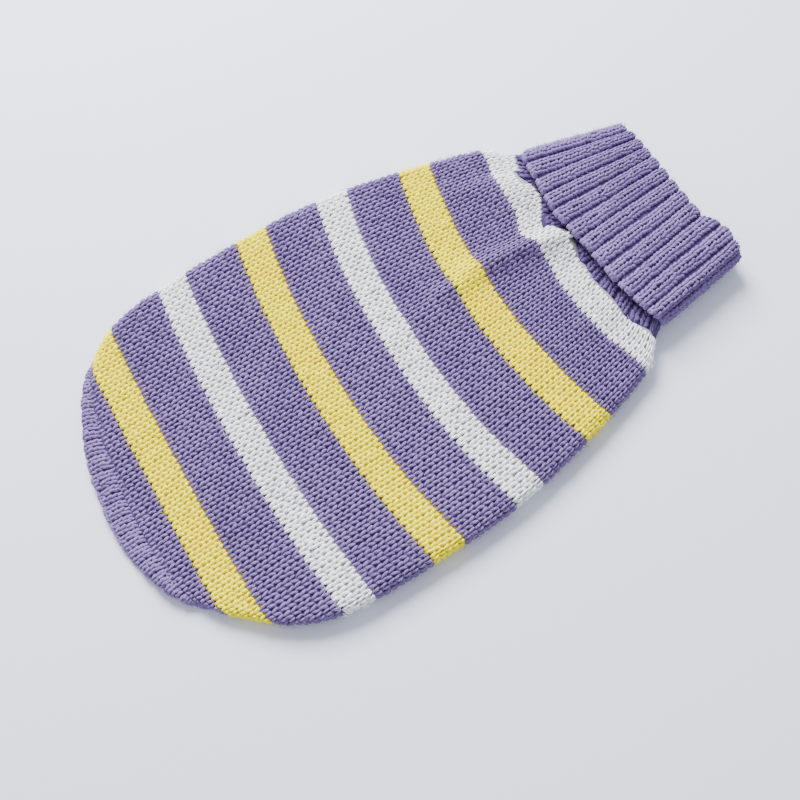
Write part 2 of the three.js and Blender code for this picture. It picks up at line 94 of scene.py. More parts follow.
# Creases of the top, each a soft ridge (or trough, below zero) along a path
creases = (
    {"name": "long ridge from the neck", "width": 7,
     "x": (92, 71, 48, 20, -8, -34), "y": (5, 10, 15, 12, 7, 2), "height": (3.4, 3.8, 3.2, 2.4, 1.5, 0.2)},
    {"name": "far ridge", "width": 7,
     "x": (92, 79, 64, 46), "y": (30, 40, 50, 63), "height": (2.6, 2.8, 1.8, 0.3)},
    {"name": "trough between them", "width": 8,
     "x": (92, 72, 44, 16), "y": (19, 26, 33, 36), "height": (-2.2, -2.4, -1.2, -0.2)},
    {"name": "near swell", "width": 12,
     "x": (92, 60, 20, -20), "y": (-30, -36, -40, -42), "height": (1.4, 1.2, 0.6, 0.1)},
    {"name": "swell over the tail", "width": 16,
     "x": (-70, -95, -118, -134), "y": (30, 12, -12, -30), "height": (0.2, 1.1, 1.2, 0.3)},
    {"name": "crest of the long ridge", "width": 3.6,
     "x": (87, 75, 61, 43, 24, 4), "y": (6.5, 8, 11.5, 14, 12.5, 11), "height": (1.5, 2, 2, 1.5, 0.9, 0.1)},
    {"name": "hollow beside it", "width": 5,
     "x": (88, 76, 62, 44, 26), "y": (15, 17, 20, 23, 21), "height": (-1.2, -2, -2, -1.2, -0.2)},
    {"name": "crest of the far ridge", "width": 4,
     "x": (88, 76, 62, 48), "y": (42, 46, 50, 58), "height": (1.1, 1.2, 0.7, 0)},
    {"name": "far hollow", "width": 4,
     "x": (90, 76, 64), "y": (50, 55, 62), "height": (-1.2, -1.1, -0.1)},
    {"name": "gather at the middle", "width": 3.5,
     "x": (88, 77, 62), "y": (-6, -8, -12), "height": (-1.2, -1.0, 0)},
    {"name": "near gather", "width": 4,
     "x": (88, 76, 58), "y": (-22, -25, -30), "height": (-1.2, -1.0, 0)},
    {"name": "nearest gather", "width": 4,
     "x": (88, 76, 62), "y": (-42, -45, -50), "height": (-1.3, -1.1, 0)},
)

ridgeFade = 12.0
neckFade = 14.0
tailFoldX = -100.0
sideFoldX = -62.0
stepsPerSection = 12


def smooth(value):
    t = np.clip(value, 0, 1)
    return t * t * (3 - 2 * t)


def easedAlong(x, xs, values):
    xs = np.asarray(xs, float)
    values = np.asarray(values, float)
    i = np.clip(np.searchsorted(xs, x) - 1, 0, len(xs) - 2)
    part = smooth((x - xs[i]) / (xs[i + 1] - xs[i]))
    return values[i] + (values[i + 1] - values[i]) * part


def curveThrough(before, start, end, after, t):
    a = 2 * start
    b = end - before
    c = 2 * before - 5 * start + 4 * end - after
    d = 3 * start - before - 3 * end + after
    return 0.5 * (a + b * t + c * t ** 2 + d * t ** 3)


def makeFoldLine():
    xs = [sections["x"][1], *sections["x"], sections["x"][-1] + 12]
    halves = [-sections["half"][1], *sections["half"], sections["half"][-1] - 4]
    folds = [sections["fold"][1], *sections["fold"], sections["fold"][-1]]
    line = []
    for i in range(1, len(xs) - 2):
        for k in range(stepsPerSection):
            t = k / stepsPerSection
            x = curveThrough(*xs[i - 1:i + 3], t)
            y = curveThrough(*halves[i - 1:i + 3], t)
            line.append((x, y, folds[i] + (folds[i + 1] - folds[i]) * t))
    return np.array(line).T


foldX, foldY, foldR = makeFoldLine()


def nearestFold(x, y):
    ax, ay = foldX[:-1], foldY[:-1]
    dx, dy = np.diff(foldX), np.diff(foldY)
    run = dx ** 2 + dy ** 2
    nearX, normalX, normalY = np.empty(len(x)), np.empty(len(x)), np.empty(len(x))
    chunk = 8000
    for start in range(0, len(x), chunk):
        cx = x[start:start + chunk, None]
        cy = y[start:start + chunk, None]
        t = np.clip(((cx - ax) * dx + (cy - ay) * dy) / run, 0, 1)
        reach = (cx - ax - dx * t) ** 2 + (cy - ay - dy * t) ** 2
        best = reach.argmin(1)
        part = t[np.arange(len(best)), best]
        nearX[start:start + chunk] = ax[best] + dx[best] * part
        length = np.sqrt(run[best])
        normalX[start:start + chunk] = -dy[best] / length
        normalY[start:start + chunk] = dx[best] / length
    return nearX, normalX, normalY


# Ahead of the tail the cloth folds square to the middle line, and round the tail square to the fold line
def foldAt(x, y):
    squared = smooth((x - tailFoldX) / (sideFoldX - tailFoldX))
    px = x.copy()
    nx = np.zeros_like(x)
    ny = np.ones_like(x)
    tail = squared < 1
    if tail.any():
        nearX, normalX, normalY = nearestFold(x[tail], y[tail])
        part = squared[tail]
        px[tail] = nearX + (x[tail] - nearX) * part
        leanX = normalX * (1 - part)
        leanY = normalY + (1 - normalY) * part
        length = np.hypot(leanX, leanY)
        nx[tail] = leanX / length
        ny[tail] = leanY / length
    py = np.interp(px, foldX, foldY)
    fold = np.interp(px, foldX, foldR)
    outside = (x - px) * nx + (y - py) * ny
    return px, py, nx, ny, fold, outside


def creaseHeight(x, y):
    total = np.zeros_like(x)
    for crease in creases:
        nearest = np.full(x.shape, np.inf)
        height = np.zeros_like(x)
        rows = list(zip(crease["x"], crease["y"], crease["height"]))
        for (ax, ay, ah), (bx, by, bh) in zip(rows, rows[1:]):
            dx, dy = bx - ax, by - ay
            t = np.clip(((x - ax) * dx + (y - ay) * dy) / (dx * dx + dy * dy), 0, 1)
            reach = np.hypot(x - ax - dx * t, y - ay - dy * t)
            closer = reach < nearest
            nearest = np.where(closer, reach, nearest)
            height = np.where(closer, ah + (bh - ah) * t, height)
        total += height * np.exp(-(nearest / crease["width"]) ** 2)
    return total


def topHeight(x, y, inside, fold):
    middle = easedAlong(x, sections["x"], sections["rise"])
    crown = middle + (2 * fold - middle) * np.exp(-(inside / crownReach) ** 2)
    fade = 1 - np.exp(-(inside / ridgeFade) ** 2)
    calm = 0.25 + 0.75 * smooth((neckX + 4 - x) / neckFade)
    return crown + creaseHeight(x, y) * fade * calm


# Yarn that would go into the table is pressed together in the last part of a millimetre above it
pressed = 0.4


def aboveTable(z):
    return np.where(z < pressed, pressed * np.exp(np.minimum(z - pressed, 0) / pressed), z)


# Carries a place in the spread-out cloth to the folded sweater. Depth is measured in from the outer face.
def drape(x, y, depth):
    sway = np.interp(x, sections["x"], sections["sway"])
    side = np.where(y < sway, -1.0, 1.0)
    px, py, nx, ny, fold, outside = foldAt(x, np.abs(y - sway))
    past = outside + fold
    half = np.pi * fold
    turn = np.clip(past / fold, 0, np.pi)
    radius = np.maximum(fold - depth, 0.25)
    out = np.where(past < half, radius * np.sin(turn), -(past - half)) - fold
    z = np.where(past < half, fold + radius * np.cos(turn), depth)
    flat = past <= 0
    top = topHeight(x, y, np.maximum(-past, 0), fold) - depth
    placeX = np.where(flat, x, px + nx * out)
    placeY = np.where(flat, y, sway + side * (py + ny * out))
    return np.stack([placeX, placeY, aboveTable(np.where(flat, top, z))], -1)


def foldHalf(x):
    return np.interp(x, foldX, foldY)


def foldRadius(x):
    return np.interp(x, foldX, foldR)


def clothHalf(x):
    fold = foldRadius(x)
    return foldHalf(x) - fold + np.pi * fold + flapWidth


def seamHalf(x):
    return foldHalf(x) - foldRadius(x) - flapWidth


tailHalf = float(clothHalf(sideSeamEndX))


def hemX(y):
    across = np.clip(np.abs(y) / (tailHalf * hemSpread), 0, 1)
    curve = (sideSeamEndX - tailX) * (1 - across ** hemRoundness) ** (1 / hemRoundness)
    return sideSeamEndX - curve + hemSkew * y * (1 - across ** 2)


# Where the neck seam and the collar's free edge lie across the top
neckSeam = {
    "y": (-53, -42, -30, -18, -7, 0, 7, 16, 26, 34, 42, 53),
    "x": (89.8, 85, 85, 84.2, 85.4, 87.6, 87.6, 82.8, 86.4, 88.6, 85.6, 89.8),
}
collarEdge = {
    "y": (-57, -41, -26, -8, 6, 17, 30, 52),
    "x": (97, 93, 90.6, 90.2, 89, 88, 89.8, 93),
}


def neckSeamX(y):
    return np.interp(y, neckSeam["y"], neckSeam["x"])


legHole = {"x": 42.0, "halfLength": 26.0, "halfWidth": 12.5}


def legHoleAt(x):
    across = (x - legHole["x"]) / legHole["halfLength"]
    return np.where(np.abs(across) < 1, legHole["halfWidth"] * (1 - across ** 2), 0)


# Materials

scene = bpy.context.scene

# Colours as they look in the photo, in sRGB
# Each yarn's shade is its darker tone for random change, and also the painted shade in the hollows between
# its plies
colours = {
    # base is the yarn darkened as painted shade, for the cloth that shows in the holes between the strands
    "lilac": {"yarn": (133, 115, 164), "shade": (90, 73, 126), "base": (74, 59, 104)},
    "lilacRib": {"yarn": (134, 115, 165), "shade": (88, 71, 126), "base": (74, 58, 106)},
    # the stand is the same lilac yarn, darkened as painted shade under the collar's free edge
    "lilacStandPaintedShade": {"yarn": (106, 88, 138), "shade": (60, 47, 94), "base": (34, 24, 58)},
    "yellow": {"yarn": (255, 248, 0), "shade": (255, 228, 0), "base": (204, 174, 0)},
    "white": {"yarn": (253, 253, 255), "shade": (230, 231, 236), "base": (150, 150, 158)},
}


def linear(colour):
    values = []
    for channel in colour:
        share = channel / 255
        values.append(share / 12.92 if share <= 0.04045 else ((share + 0.055) / 1.055) ** 2.4)
    return (*values, 1.0)


def newGroup(name, inputs, outputs):
    group = bpy.data.node_groups.new(name, "ShaderNodeTree")
    for label, kind, value in inputs:
        socket = group.interface.new_socket(label, in_out="INPUT", socket_type=kind)
        if value is not None:
            socket.default_value = value
    for label, kind in outputs:
        group.interface.new_socket(label, in_out="OUTPUT", socket_type=kind)
    entry = group.nodes.new("NodeGroupInput")
    leave = group.nodes.new("NodeGroupOutput")
    return group, entry, leave


def mathNode(tree, operation, first, second=None):
    node = tree.nodes.new("ShaderNodeMath")
    node.operation = operation
    for index, value in enumerate((first, second)):
        if value is None:
            continue
        if isinstance(value, (int, float)):
            node.inputs[index].default_value = value
        else:
            tree.links.new(value, node.inputs[index])
    return node.outputs[0]


def noiseNode(tree, place, scale, detail=2.0):
    noise = tree.nodes.new("ShaderNodeTexNoise")
    noise.inputs["Scale"].default_value = scale
    noise.inputs["Detail"].default_value = detail
    tree.links.new(place, noise.inputs["Vector"])
    return noise.outputs[0]


# Two colours mixed, each a socket or a value
def mixNode(tree, factor, first, second):
    mix = tree.nodes.new("ShaderNodeMix")
    mix.data_type = "RGBA"
    mix.clamp_factor = True
    tree.links.new(factor, mix.inputs["Factor"])
    for label, value in (("A", first), ("B", second)):
        if isinstance(value, tuple):
            mix.inputs[label].default_value = value
        else:
            tree.links.new(value, mix.inputs[label])
    return mix.outputs["Result"]


# Plies wound round a strand. U runs along the strand and V round it.
def makePlyGroup():
    group, entry, leave = newGroup(
        "plyTwist",
        [("Vector", "NodeSocketVector", None), ("Plies", "NodeSocketFloat", 3.0),
         ("Turns", "NodeSocketFloat", 2.0), ("Fuzz", "NodeSocketFloat", 0.35)],
        [("Height", "NodeSocketFloat"), ("Hollow", "NodeSocketFloat")],
    )
    links = group.links
    split = group.nodes.new("ShaderNodeSeparateXYZ")
    links.new(entry.outputs["Vector"], split.inputs[0])
    along = mathNode(group, "MULTIPLY", split.outputs[0], entry.outputs["Turns"])
    around = mathNode(group, "MULTIPLY", split.outputs[1], entry.outputs["Plies"])
    winding = mathNode(group, "MULTIPLY", mathNode(group, "ADD", along, around), 2 * math.pi)
    wave = mathNode(group, "MULTIPLY_ADD", mathNode(group, "SINE", winding), 0.5)
    wave.node.inputs[2].default_value = 0.5
    fibres = noiseNode(group, entry.outputs["Vector"], 9.0, 3.0)
    fuzz = mathNode(group, "MULTIPLY", fibres, entry.outputs["Fuzz"])
    links.new(mathNode(group, "ADD", wave, fuzz), leave.inputs["Height"])
    # Hollow marks the grooves between the plies, which get painted shade in the yarn's colour
    links.new(mathNode(group, "SUBTRACT", 1.0, wave), leave.inputs["Hollow"])
    return group


# Slow change of a yarn's colour over the cloth, with quicker change from stitch to stitch, and painted shade
# that darkens the yarn towards its shade colour in the hollows between the plies
def makeDyeAndPlyShadeGroup():
    group, entry, leave = newGroup(
        "dyeAndPlyShade",
        [("Place", "NodeSocketVector", None), ("Stitch", "NodeSocketVector", None),
         ("Light", "NodeSocketColor", (1, 1, 1, 1)), ("Dark", "NodeSocketColor", (0, 0, 0, 1)),
         ("Hollow", "NodeSocketFloat", 0.0)],
        [("Color", "NodeSocketColor")],
    )
    slow = noiseNode(group, entry.outputs["Place"], 38.0, 3.0)
    quick = noiseNode(group, entry.outputs["Stitch"], 0.9)
    slowPart = mathNode(group, "MULTIPLY", mathNode(group, "SUBTRACT", slow, 0.5), 0.9)
    quickPart = mathNode(group, "MULTIPLY", mathNode(group, "SUBTRACT", quick, 0.5), 0.8)
    # painted shade in the hollows between the plies
    plyShadePart = mathNode(group, "MULTIPLY", entry.outputs["Hollow"], 0.45)
    total = mathNode(group, "ADD", mathNode(group, "ADD", slowPart, quickPart), plyShadePart)
    colour = mixNode(group, total, entry.outputs["Light"], entry.outputs["Dark"])
    group.links.new(colour, leave.inputs["Color"])
    return group


plyGroup = makePlyGroup()
dyeAndPlyShadeGroup = makeDyeAndPlyShadeGroup()

yarnFinish = {"roughness": 0.88, "sheen": 0.35, "sheenRoughness": 0.45, "bump": 0.00022}


def startMaterial(name):
    material = bpy.data.materials.new(name)
    material.use_nodes = True
    tree = material.node_tree
    shader = tree.nodes["Principled BSDF"]
    return material, tree, shader


def addBump(tree, shader, height, strength, distance):
    bump = tree.nodes.new("ShaderNodeBump")
    bump.inputs["Strength"].default_value = strength
    bump.inputs["Distance"].default_value = distance
    tree.links.new(height, bump.inputs["Height"])
    tree.links.new(bump.outputs["Normal"], shader.inputs["Normal"])


def finishYarn(shader, tint):
    shader.inputs["Roughness"].default_value = yarnFinish["roughness"]
    shader.inputs["Specular IOR Level"].default_value = 0.05
    shader.inputs["Sheen Weight"].default_value = yarnFinish["sheen"]
    shader.inputs["Sheen Roughness"].default_value = yarnFinish["sheenRoughness"]
    shader.inputs["Sheen Tint"].default_value = tint


def makeYarn(name, colour):
    material, tree, shader = startMaterial(name)
    place = tree.nodes.new("ShaderNodeTexCoord")
    ply = tree.nodes.new("ShaderNodeGroup")
    ply.node_tree = plyGroup
    tree.links.new(place.outputs["UV"], ply.inputs["Vector"])
    uneven = tree.nodes.new("ShaderNodeGroup")
    uneven.node_tree = dyeAndPlyShadeGroup
    tree.links.new(place.outputs["Object"], uneven.inputs["Place"])
    tree.links.new(place.outputs["UV"], uneven.inputs["Stitch"])
    # the ply grooves carry painted shade into the yarn's colour
    tree.links.new(ply.outputs["Hollow"], uneven.inputs["Hollow"])
    uneven.inputs["Light"].default_value = linear(colour["yarn"])
    uneven.inputs["Dark"].default_value = linear(colour["shade"])
    tree.links.new(uneven.outputs["Color"], shader.inputs["Base Color"])
    addBump(tree, shader, ply.outputs["Height"], 0.6, yarnFinish["bump"])
    finishYarn(shader, linear(colour["yarn"]))
    return material


yarns = {name: makeYarn("yarn_" + name, colour) for name, colour in colours.items()}

# Stripes of the back, from the tail: the yarn, its first course, where that starts on the middle line,
# how far it bows towards the collar at the sides, and how far it slants
stripes = {
    "yarn": ("lilac", "yellow", "lilac", "white", "lilac", "yellow",
             "lilac", "white", "lilac", "yellow", "lilac", "white"),
    "course": (-8, 0, 5, 13, 17, 25, 30, 38, 42, 50, 55, 64),
    "x": (-160, -134.3, -119.7, -94.9, -80.4, -54.9, -40.4, -14, 0.2, 27.5, 43.2, 71.5),
    "bow": (1.6, 1.7, 2.2, 5.2, 5.4, 8, 9.3, 10, 12, 12.6, 13.3, 7),
    "slant": (0.04, 0.042, 0.044, 0.036, 0.036, 0.031, 0.03, 0.028, 0.03, 0.026, 0.025, 0.02),
}
lastCourse = 70
lastCourseX = 92.7
firstCourse = stripes["course"][0]
courseSpan = lastCourse - firstCourse


# The cloth between the strands, in each yarn's colour darkened as painted shade in the holes between them. V
# of its map is the course, so that the stripes follow the knitting.
def makeStripedHoleShade():
    material, tree, shader = startMaterial("painted_shade_between_stitches_striped")
    place = tree.nodes.new("ShaderNodeTexCoord")
    split = tree.nodes.new("ShaderNodeSeparateXYZ")
    tree.links.new(place.outputs["UV"], split.inputs[0])
    ramp = tree.nodes.new("ShaderNodeValToRGB")
    ramp.color_ramp.interpolation = "CONSTANT"
    stops = ramp.color_ramp.elements
    while len(stops) < len(stripes["yarn"]):
        stops.new(1.0)
    for stop, yarn, course in zip(stops, stripes["yarn"], stripes["course"]):
        stop.position = (course + 0.2 - firstCourse) / courseSpan
        stop.color = linear(colours[yarn]["base"])
    tree.links.new(split.outputs[1], ramp.inputs[0])
    finishHoleShade(tree, place, shader, ramp.outputs["Color"])
    return material


# Cloth between the strands in one colour of painted shade, with random patches of darker tone
def makePlainHoleShade(name, colour):
    material, tree, shader = startMaterial(name)
    place = tree.nodes.new("ShaderNodeTexCoord")
    slow = noiseNode(tree, place.outputs["Object"], 120.0)
    darker = linear([channel * 0.75 for channel in colour])
    finishHoleShade(tree, place, shader, mixNode(tree, slow, linear(colour), darker))
    return material


def finishHoleShade(tree, place, shader, colour):
    tree.links.new(colour, shader.inputs["Base Color"])
    addBump(tree, shader, noiseNode(tree, place.outputs["Object"], 900.0, 3.0), 0.7, 0.0004)
    shader.inputs["Roughness"].default_value = 0.95
    shader.inputs["Specular IOR Level"].default_value = 0.15


# The cloth between the strands carries painted shade: each yarn darkened where the holes are
stripedHoleShade = makeStripedHoleShade()
plainHoleShade = makePlainHoleShade("painted_shade_between_stitches_plain", colours["lilac"]["base"])
ribHoleShade = makePlainHoleShade("painted_shade_between_stitches_rib", colours["lilacRib"]["base"])
print("materials made")

# Mesh making


def volumeOf(points, corners, starts):
    ends = np.append(starts[1:], len(corners))
    total = 0.0
    first = corners[starts]
    for step in (1, 2):
        use = ends - starts > step + 1
        a = points[first[use]]
        b = points[corners[starts[use] + step]]
        c = points[corners[starts[use] + step + 1]]
        total += float(np.einsum("ij,ij->i", a, np.cross(b, c)).sum())
    return total


# The order of corners that turns each face over
def turnedOver(corners, starts):
    ends = np.append(starts[1:], len(corners))
    spot = np.arange(len(corners))
    face = np.searchsorted(starts, spot, side="right") - 1
    return starts[face] + ends[face] - 1 - spot


# Corners and starts list the faces one after another, and map holds a place on the map for each corner
def makeMesh(name, points, corners, starts, map, material):
    points = points.copy()
    points[:, 0] += middleShift
    if volumeOf(points, corners, starts) < 0:
        order = turnedOver(corners, starts)
        corners = corners[order]
        map = map[order]
    mesh = bpy.data.meshes.new(name)
    mesh.vertices.add(len(points))
    mesh.vertices.foreach_set("co", (points * mm).astype(np.float32).ravel())
    mesh.loops.add(len(corners))
    mesh.loops.foreach_set("vertex_index", corners.astype(np.int32))
    mesh.polygons.add(len(starts))
    mesh.polygons.foreach_set("loop_start", starts.astype(np.int32))
    mesh.update(calc_edges=True)
    layer = mesh.uv_layers.new(name="knitMap")
    layer.data.foreach_set("uv", map.astype(np.float32).ravel())
    mesh.polygons.foreach_set("use_smooth", np.ones(len(starts), bool))
    mesh.validate()
    mesh.materials.append(material)
    piece = bpy.data.objects.new(name, mesh)
    scene.collection.objects.link(piece)
    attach(piece, "root")
    return piece


# Stitch: one leg is a strand that comes up out of the stitch behind it, leans outward and dives under
# the next.
# Courses and wales are its place in the knitting, and depth is in millimetres under the cloth's outer face.
stitchLeg = {
    "course": (-0.27, -0.03, 0.26, 0.57, 0.86, 1.09),
    "wale": (0.14, 0.15, 0.20, 0.28, 0.34, 0.35),
    "depth": (2.6, 1.45, 0.98, 0.90, 1.35, 2.6),
    "size": (0.55, 0.86, 1.0, 1.0, 0.88, 0.55),
    "halfWidth": 0.82,
    "halfDepth": 0.84,
    "tip": 0.10,
}


# Plainer legs for the cloth that lies underneath
plainLeg = {
    "course": (-0.24, 0.20, 0.64, 1.07),
    "wale": (0.14, 0.19, 0.29, 0.35),
    "depth": (2.6, 1.05, 0.98, 2.5),
    "size": (0.6, 1.0, 1.0, 0.6),
    "halfWidth": 0.82,
    "halfDepth": 0.84,
    "tip": 0.10,
}


# For a right-hand leg, gives the middle of each vertex's ring, its offset from there, the faces
# and their map
def legTemplate(leg, wale, course, sides):
    rings = len(leg["course"])
    middle = np.stack([np.array(leg["course"]), np.array(leg["wale"]), np.array(leg["depth"])], -1)
    run = np.gradient(middle[:, 0] * course)
    lean = np.gradient(middle[:, 1] * wale)
    length = np.hypot(run, lean)
    acrossCourse = -lean / length / course
    acrossWale = run / length / wale
    centres, offsets = [], []
    for k in range(rings):
        for j in range(sides):
            angle = 2 * math.pi * (j + 0.5) / sides
            width = leg["halfWidth"] * leg["size"][k] * math.cos(angle)
            rise = -leg["halfDepth"] * leg["size"][k] * math.sin(angle)
            centres.append(middle[k])
            offsets.append((width * acrossCourse[k], width * acrossWale[k], rise))
    for k, way in ((0, -1), (rings - 1, 1)):
        centres.append(middle[k] + np.array([way * leg["tip"], 0, 0.3]))
        offsets.append((0, 0, 0))
    corners, starts, map = [], [], []

    def addFace(spots):
        starts.append(len(corners))
        for vertex, along, around in spots:
            corners.append(vertex)
            map.append((along, around))

    for k in range(rings - 1):
        for j in range(sides):
            after = (j + 1) % sides
            addFace((
                (k * sides + j, k, j / sides),
                (k * sides + after, k, (j + 1) / sides),
                ((k + 1) * sides + after, k + 1, (j + 1) / sides),
                ((k + 1) * sides + j, k + 1, j / sides),
            ))
    for j in range(sides):
        after = (j + 1) % sides
        last = (rings - 1) * sides
        low, high = rings * sides, rings * sides + 1
        addFace(((low, -1, (j + 0.5) / sides), (after, 0, (j + 1) / sides), (j, 0, j / sides)))
        addFace(((high, rings, (j + 0.5) / sides), (last + j, rings - 1, j / sides),
                 (last + after, rings - 1, (j + 1) / sides)))
    map = np.array(map, float)
    map[:, 0] /= rings - 1
    return np.array(centres), np.array(offsets), np.array(corners), np.array(starts), map


uneven = {"course": 0.045, "wale": 0.022, "depth": 0.10, "size": 0.07}


# Sets a template down at many stitches. Each stitch is (course, wale), and place turns
# courses, wales and depths into points.
def knit(name, stitches, template, place, material, wavy=1.0):
    centres, offsets, corners, starts, map = template
    stitches = np.asarray(stitches, float)
    count = len(stitches)
    jitter = rng.normal(0, 1, (count, 4)) * wavy
    groups, cornerGroups, startGroups, mapGroups = [], [], [], []
    vertexBase, cornerBase = 0, 0
    for hand in (1, -1):
        size = 1 + uneven["size"] * (jitter[:, 3:4] + 0.5 * hand * jitter[:, 0:1])
        course = stitches[:, 0:1] + centres[:, 0] + offsets[:, 0] * size
        course = course + uneven["course"] * jitter[:, 0:1]
        sideways = centres[:, 1] + offsets[:, 1] * size
        wale = stitches[:, 1:2] + hand * sideways + uneven["wale"] * jitter[:, 1:2]
        depth = centres[:, 2] + offsets[:, 2] * size + uneven["depth"] * jitter[:, 2:3]
        groups.append(place(course.ravel(), wale.ravel(), depth.ravel()))
        faceCorners, faceMap = corners, map
        if hand < 0:
            order = turnedOver(corners, starts)
            faceCorners, faceMap = corners[order], map[order] * (1, -1)
        base = np.arange(count)[:, None]
        cornerGroups.append((faceCorners + base * len(centres) + vertexBase).ravel())
        startGroups.append((starts + base * len(corners) + cornerBase).ravel())
        shift = np.stack([stitches[:, 0] * 1.7, stitches[:, 1] * 2.3 + hand], -1)
        mapGroups.append((faceMap[None] + shift[:, None]).reshape(-1, 2))
        vertexBase += count * len(centres)
        cornerBase += count * len(corners)
    return makeMesh(name, np.concatenate(groups), np.concatenate(cornerGroups),
                    np.concatenate(startGroups), np.concatenate(mapGroups), material)


hairs = {"radius": 0.07, "steps": 4, "sides": 3, "lift": (0.5, 2.0)}


# Loose fibres that stand off the knit, each a thin bent hair from a place in the knitting
def fuzz(name, spots, place, reach, material):
    spots = np.asarray(spots, float)
    count = len(spots)
    heading = rng.uniform(0, 2 * np.pi, count)
    length = rng.uniform(0.5, 1.0, count)
    lift = rng.uniform(*hairs["lift"], count)
    curl = rng.normal(0, 0.9, count)
    steps, sides = hairs["steps"], hairs["sides"]
    line = []
    for step in range(steps):
        t = step / (steps - 1)
        turned = heading + curl * t
        course = spots[:, 0] + np.cos(turned) * length * t * reach[0]
        wale = spots[:, 1] + np.sin(turned) * length * t * reach[1]
        line.append(place(course, wale, 0.5 - lift * np.sin(t * 2.4)))
    line = np.stack(line, 1)
    run = np.gradient(line, axis=1)
    run /= np.linalg.norm(run, axis=2, keepdims=True) + 1e-9
    across = np.cross(run, (0.31, 0.22, 0.92))
    across /= np.linalg.norm(across, axis=2, keepdims=True) + 1e-9
    upward = np.cross(run, across)
    taper = np.linspace(1, 0.35, steps)[None, :, None] * hairs["radius"]
    rings = []
    for j in range(sides):
        angle = 2 * math.pi * j / sides
        rings.append(line + (across * math.cos(angle) + upward * math.sin(angle)) * taper)
    points = np.stack(rings, 2).reshape(-1, 3)
    points[:, 2] = np.maximum(points[:, 2], 0.02)
    corners, starts = [], []
    for k in range(steps - 1):
        for j in range(sides):
            after = (j + 1) % sides
            starts.append(len(corners))
            corners += [k * sides + j, k * sides + after, (k + 1) * sides + after, (k + 1) * sides + j]
    for first, order in ((0, (2, 1, 0)), ((steps - 1) * sides, (0, 1, 2))):
        starts.append(len(corners))
        corners += [first + j for j in order]
    corners, starts = np.array(corners), np.array(starts)
    base = np.arange(count)[:, None]
    allCorners = (corners + base * steps * sides).ravel()
    allStarts = (starts + base * len(corners)).ravel()
    map = np.repeat(spots[:, ::-1] * 0.7, len(corners), axis=0)
    return makeMesh(name, points, allCorners, allStarts, map, material)


# A thin shell between an outer and an inner grid of points, closed at its edges or, for a ring, along them
def shellMesh(name, outer, inner, map, material, ring=False):
    rows, columns = outer.shape[:2]
    points = np.concatenate([outer.reshape(-1, 3), inner.reshape(-1, 3)])
    lastRow = rows if ring else rows - 1
    i, j = np.meshgrid(np.arange(lastRow), np.arange(columns - 1), indexing="ij")
    i, j = i.ravel(), j.ravel()

    def at(layer, a, b):
        return layer * rows * columns + (a % rows) * columns + b

    faces = []

    def quads(*ends):
        faces.append(np.stack(ends, -1))

    quads(at(0, i, j), at(0, i + 1, j), at(0, i + 1, j + 1), at(0, i, j + 1))
    quads(at(1, i, j), at(1, i, j + 1), at(1, i + 1, j + 1), at(1, i + 1, j))
    edge = np.arange(lastRow)
    last = np.full(lastRow, columns - 1)
    none = np.zeros(lastRow, int)
    after = edge + 1
    quads(at(0, edge, none), at(1, edge, none), at(1, after, none), at(0, after, none))
    quads(at(0, edge, last), at(0, after, last), at(1, after, last), at(1, edge, last))
    if not ring:
        edge = np.arange(columns - 1)
        last = np.full(columns - 1, rows - 1)
        none = np.zeros(columns - 1, int)
        after = edge + 1
        quads(at(0, none, edge), at(0, none, after), at(1, none, after), at(1, none, edge))
        quads(at(0, last, edge), at(1, last, edge), at(1, last, after), at(0, last, after))
    corners = np.concatenate([face.ravel() for face in faces])
    starts = np.arange(0, len(corners), 4)
    maps = np.concatenate([map.reshape(-1, 2), map.reshape(-1, 2)])
    return makeMesh(name, points, corners, starts, maps[corners], material)


# A ring whose section is a closed loop of points, given station by station
def loopMesh(name, stations, material):
    count, size = stations.shape[:2]
    i, j = np.meshgrid(np.arange(count), np.arange(size), indexing="ij")
    i, j = i.ravel(), j.ravel()
    corners = np.stack([i * size + j, (i + 1) % count * size + j,
                        (i + 1) % count * size + (j + 1) % size, i * size + (j + 1) % size], -1).ravel()
    map = np.stack([np.repeat(i, 4) / count, np.repeat(j, 4) / size], -1)
    return makeMesh(name, stations.reshape(-1, 3), corners, np.arange(0, len(corners), 4), map, material)


# Back panel

back = {
    "wales": 29,  # from the middle to each side seam
    "wale": 4.0,
    "course": 3.25,
    "shellOut": 1.6,  # the cloth between the strands lies this far under their tops
    "foldWale": 22,  # wales past this lie round the side folds or under them
    "groove": 1.0,
    "grooveWidth": 2.6,
}

bowHalf = 88.0

# The gathers at the neck carry the courses forward or back here and there
neckShift = {
    "y": (-68, -60, -50, -40, -20, -10, 0, 10, 20, 30, 40, 50, 60),
    "reach": (2.9, 2.2, 0.5, -1.4, -1.9, -1.4, 0, -0.8, -2.2, 1.7, 0.5, 0.5, 2.3),
    "fromX": 48.0,
    "fullX": 70.0,
}


def spreadHalf(x):
    return clothHalf(np.maximum(x, sideSeamEndX))


# How far the courses lie from the straight line across, at a place in the cloth
def courseBend(course, middle, y):
    bowed = np.interp(course, stripes["course"], stripes["bow"]) * np.clip(np.abs(y) / bowHalf, 0, 1) ** 2.2
    slanted = np.interp(course, stripes["course"], stripes["slant"]) * y
    near = smooth((middle - neckShift["fromX"]) / (neckShift["fullX"] - neckShift["fromX"]))
    return bowed + slanted + near * np.interp(y, neckShift["y"], neckShift["reach"])


def clothPlace(course, wale):
    rows = (*stripes["course"], lastCourse)
    middle = np.interp(course, rows, (*stripes["x"], lastCourseX))
    part = wale / back["wales"]
    x = middle + courseBend(course, middle, part * spreadHalf(middle))
    return x, part * spreadHalf(x)


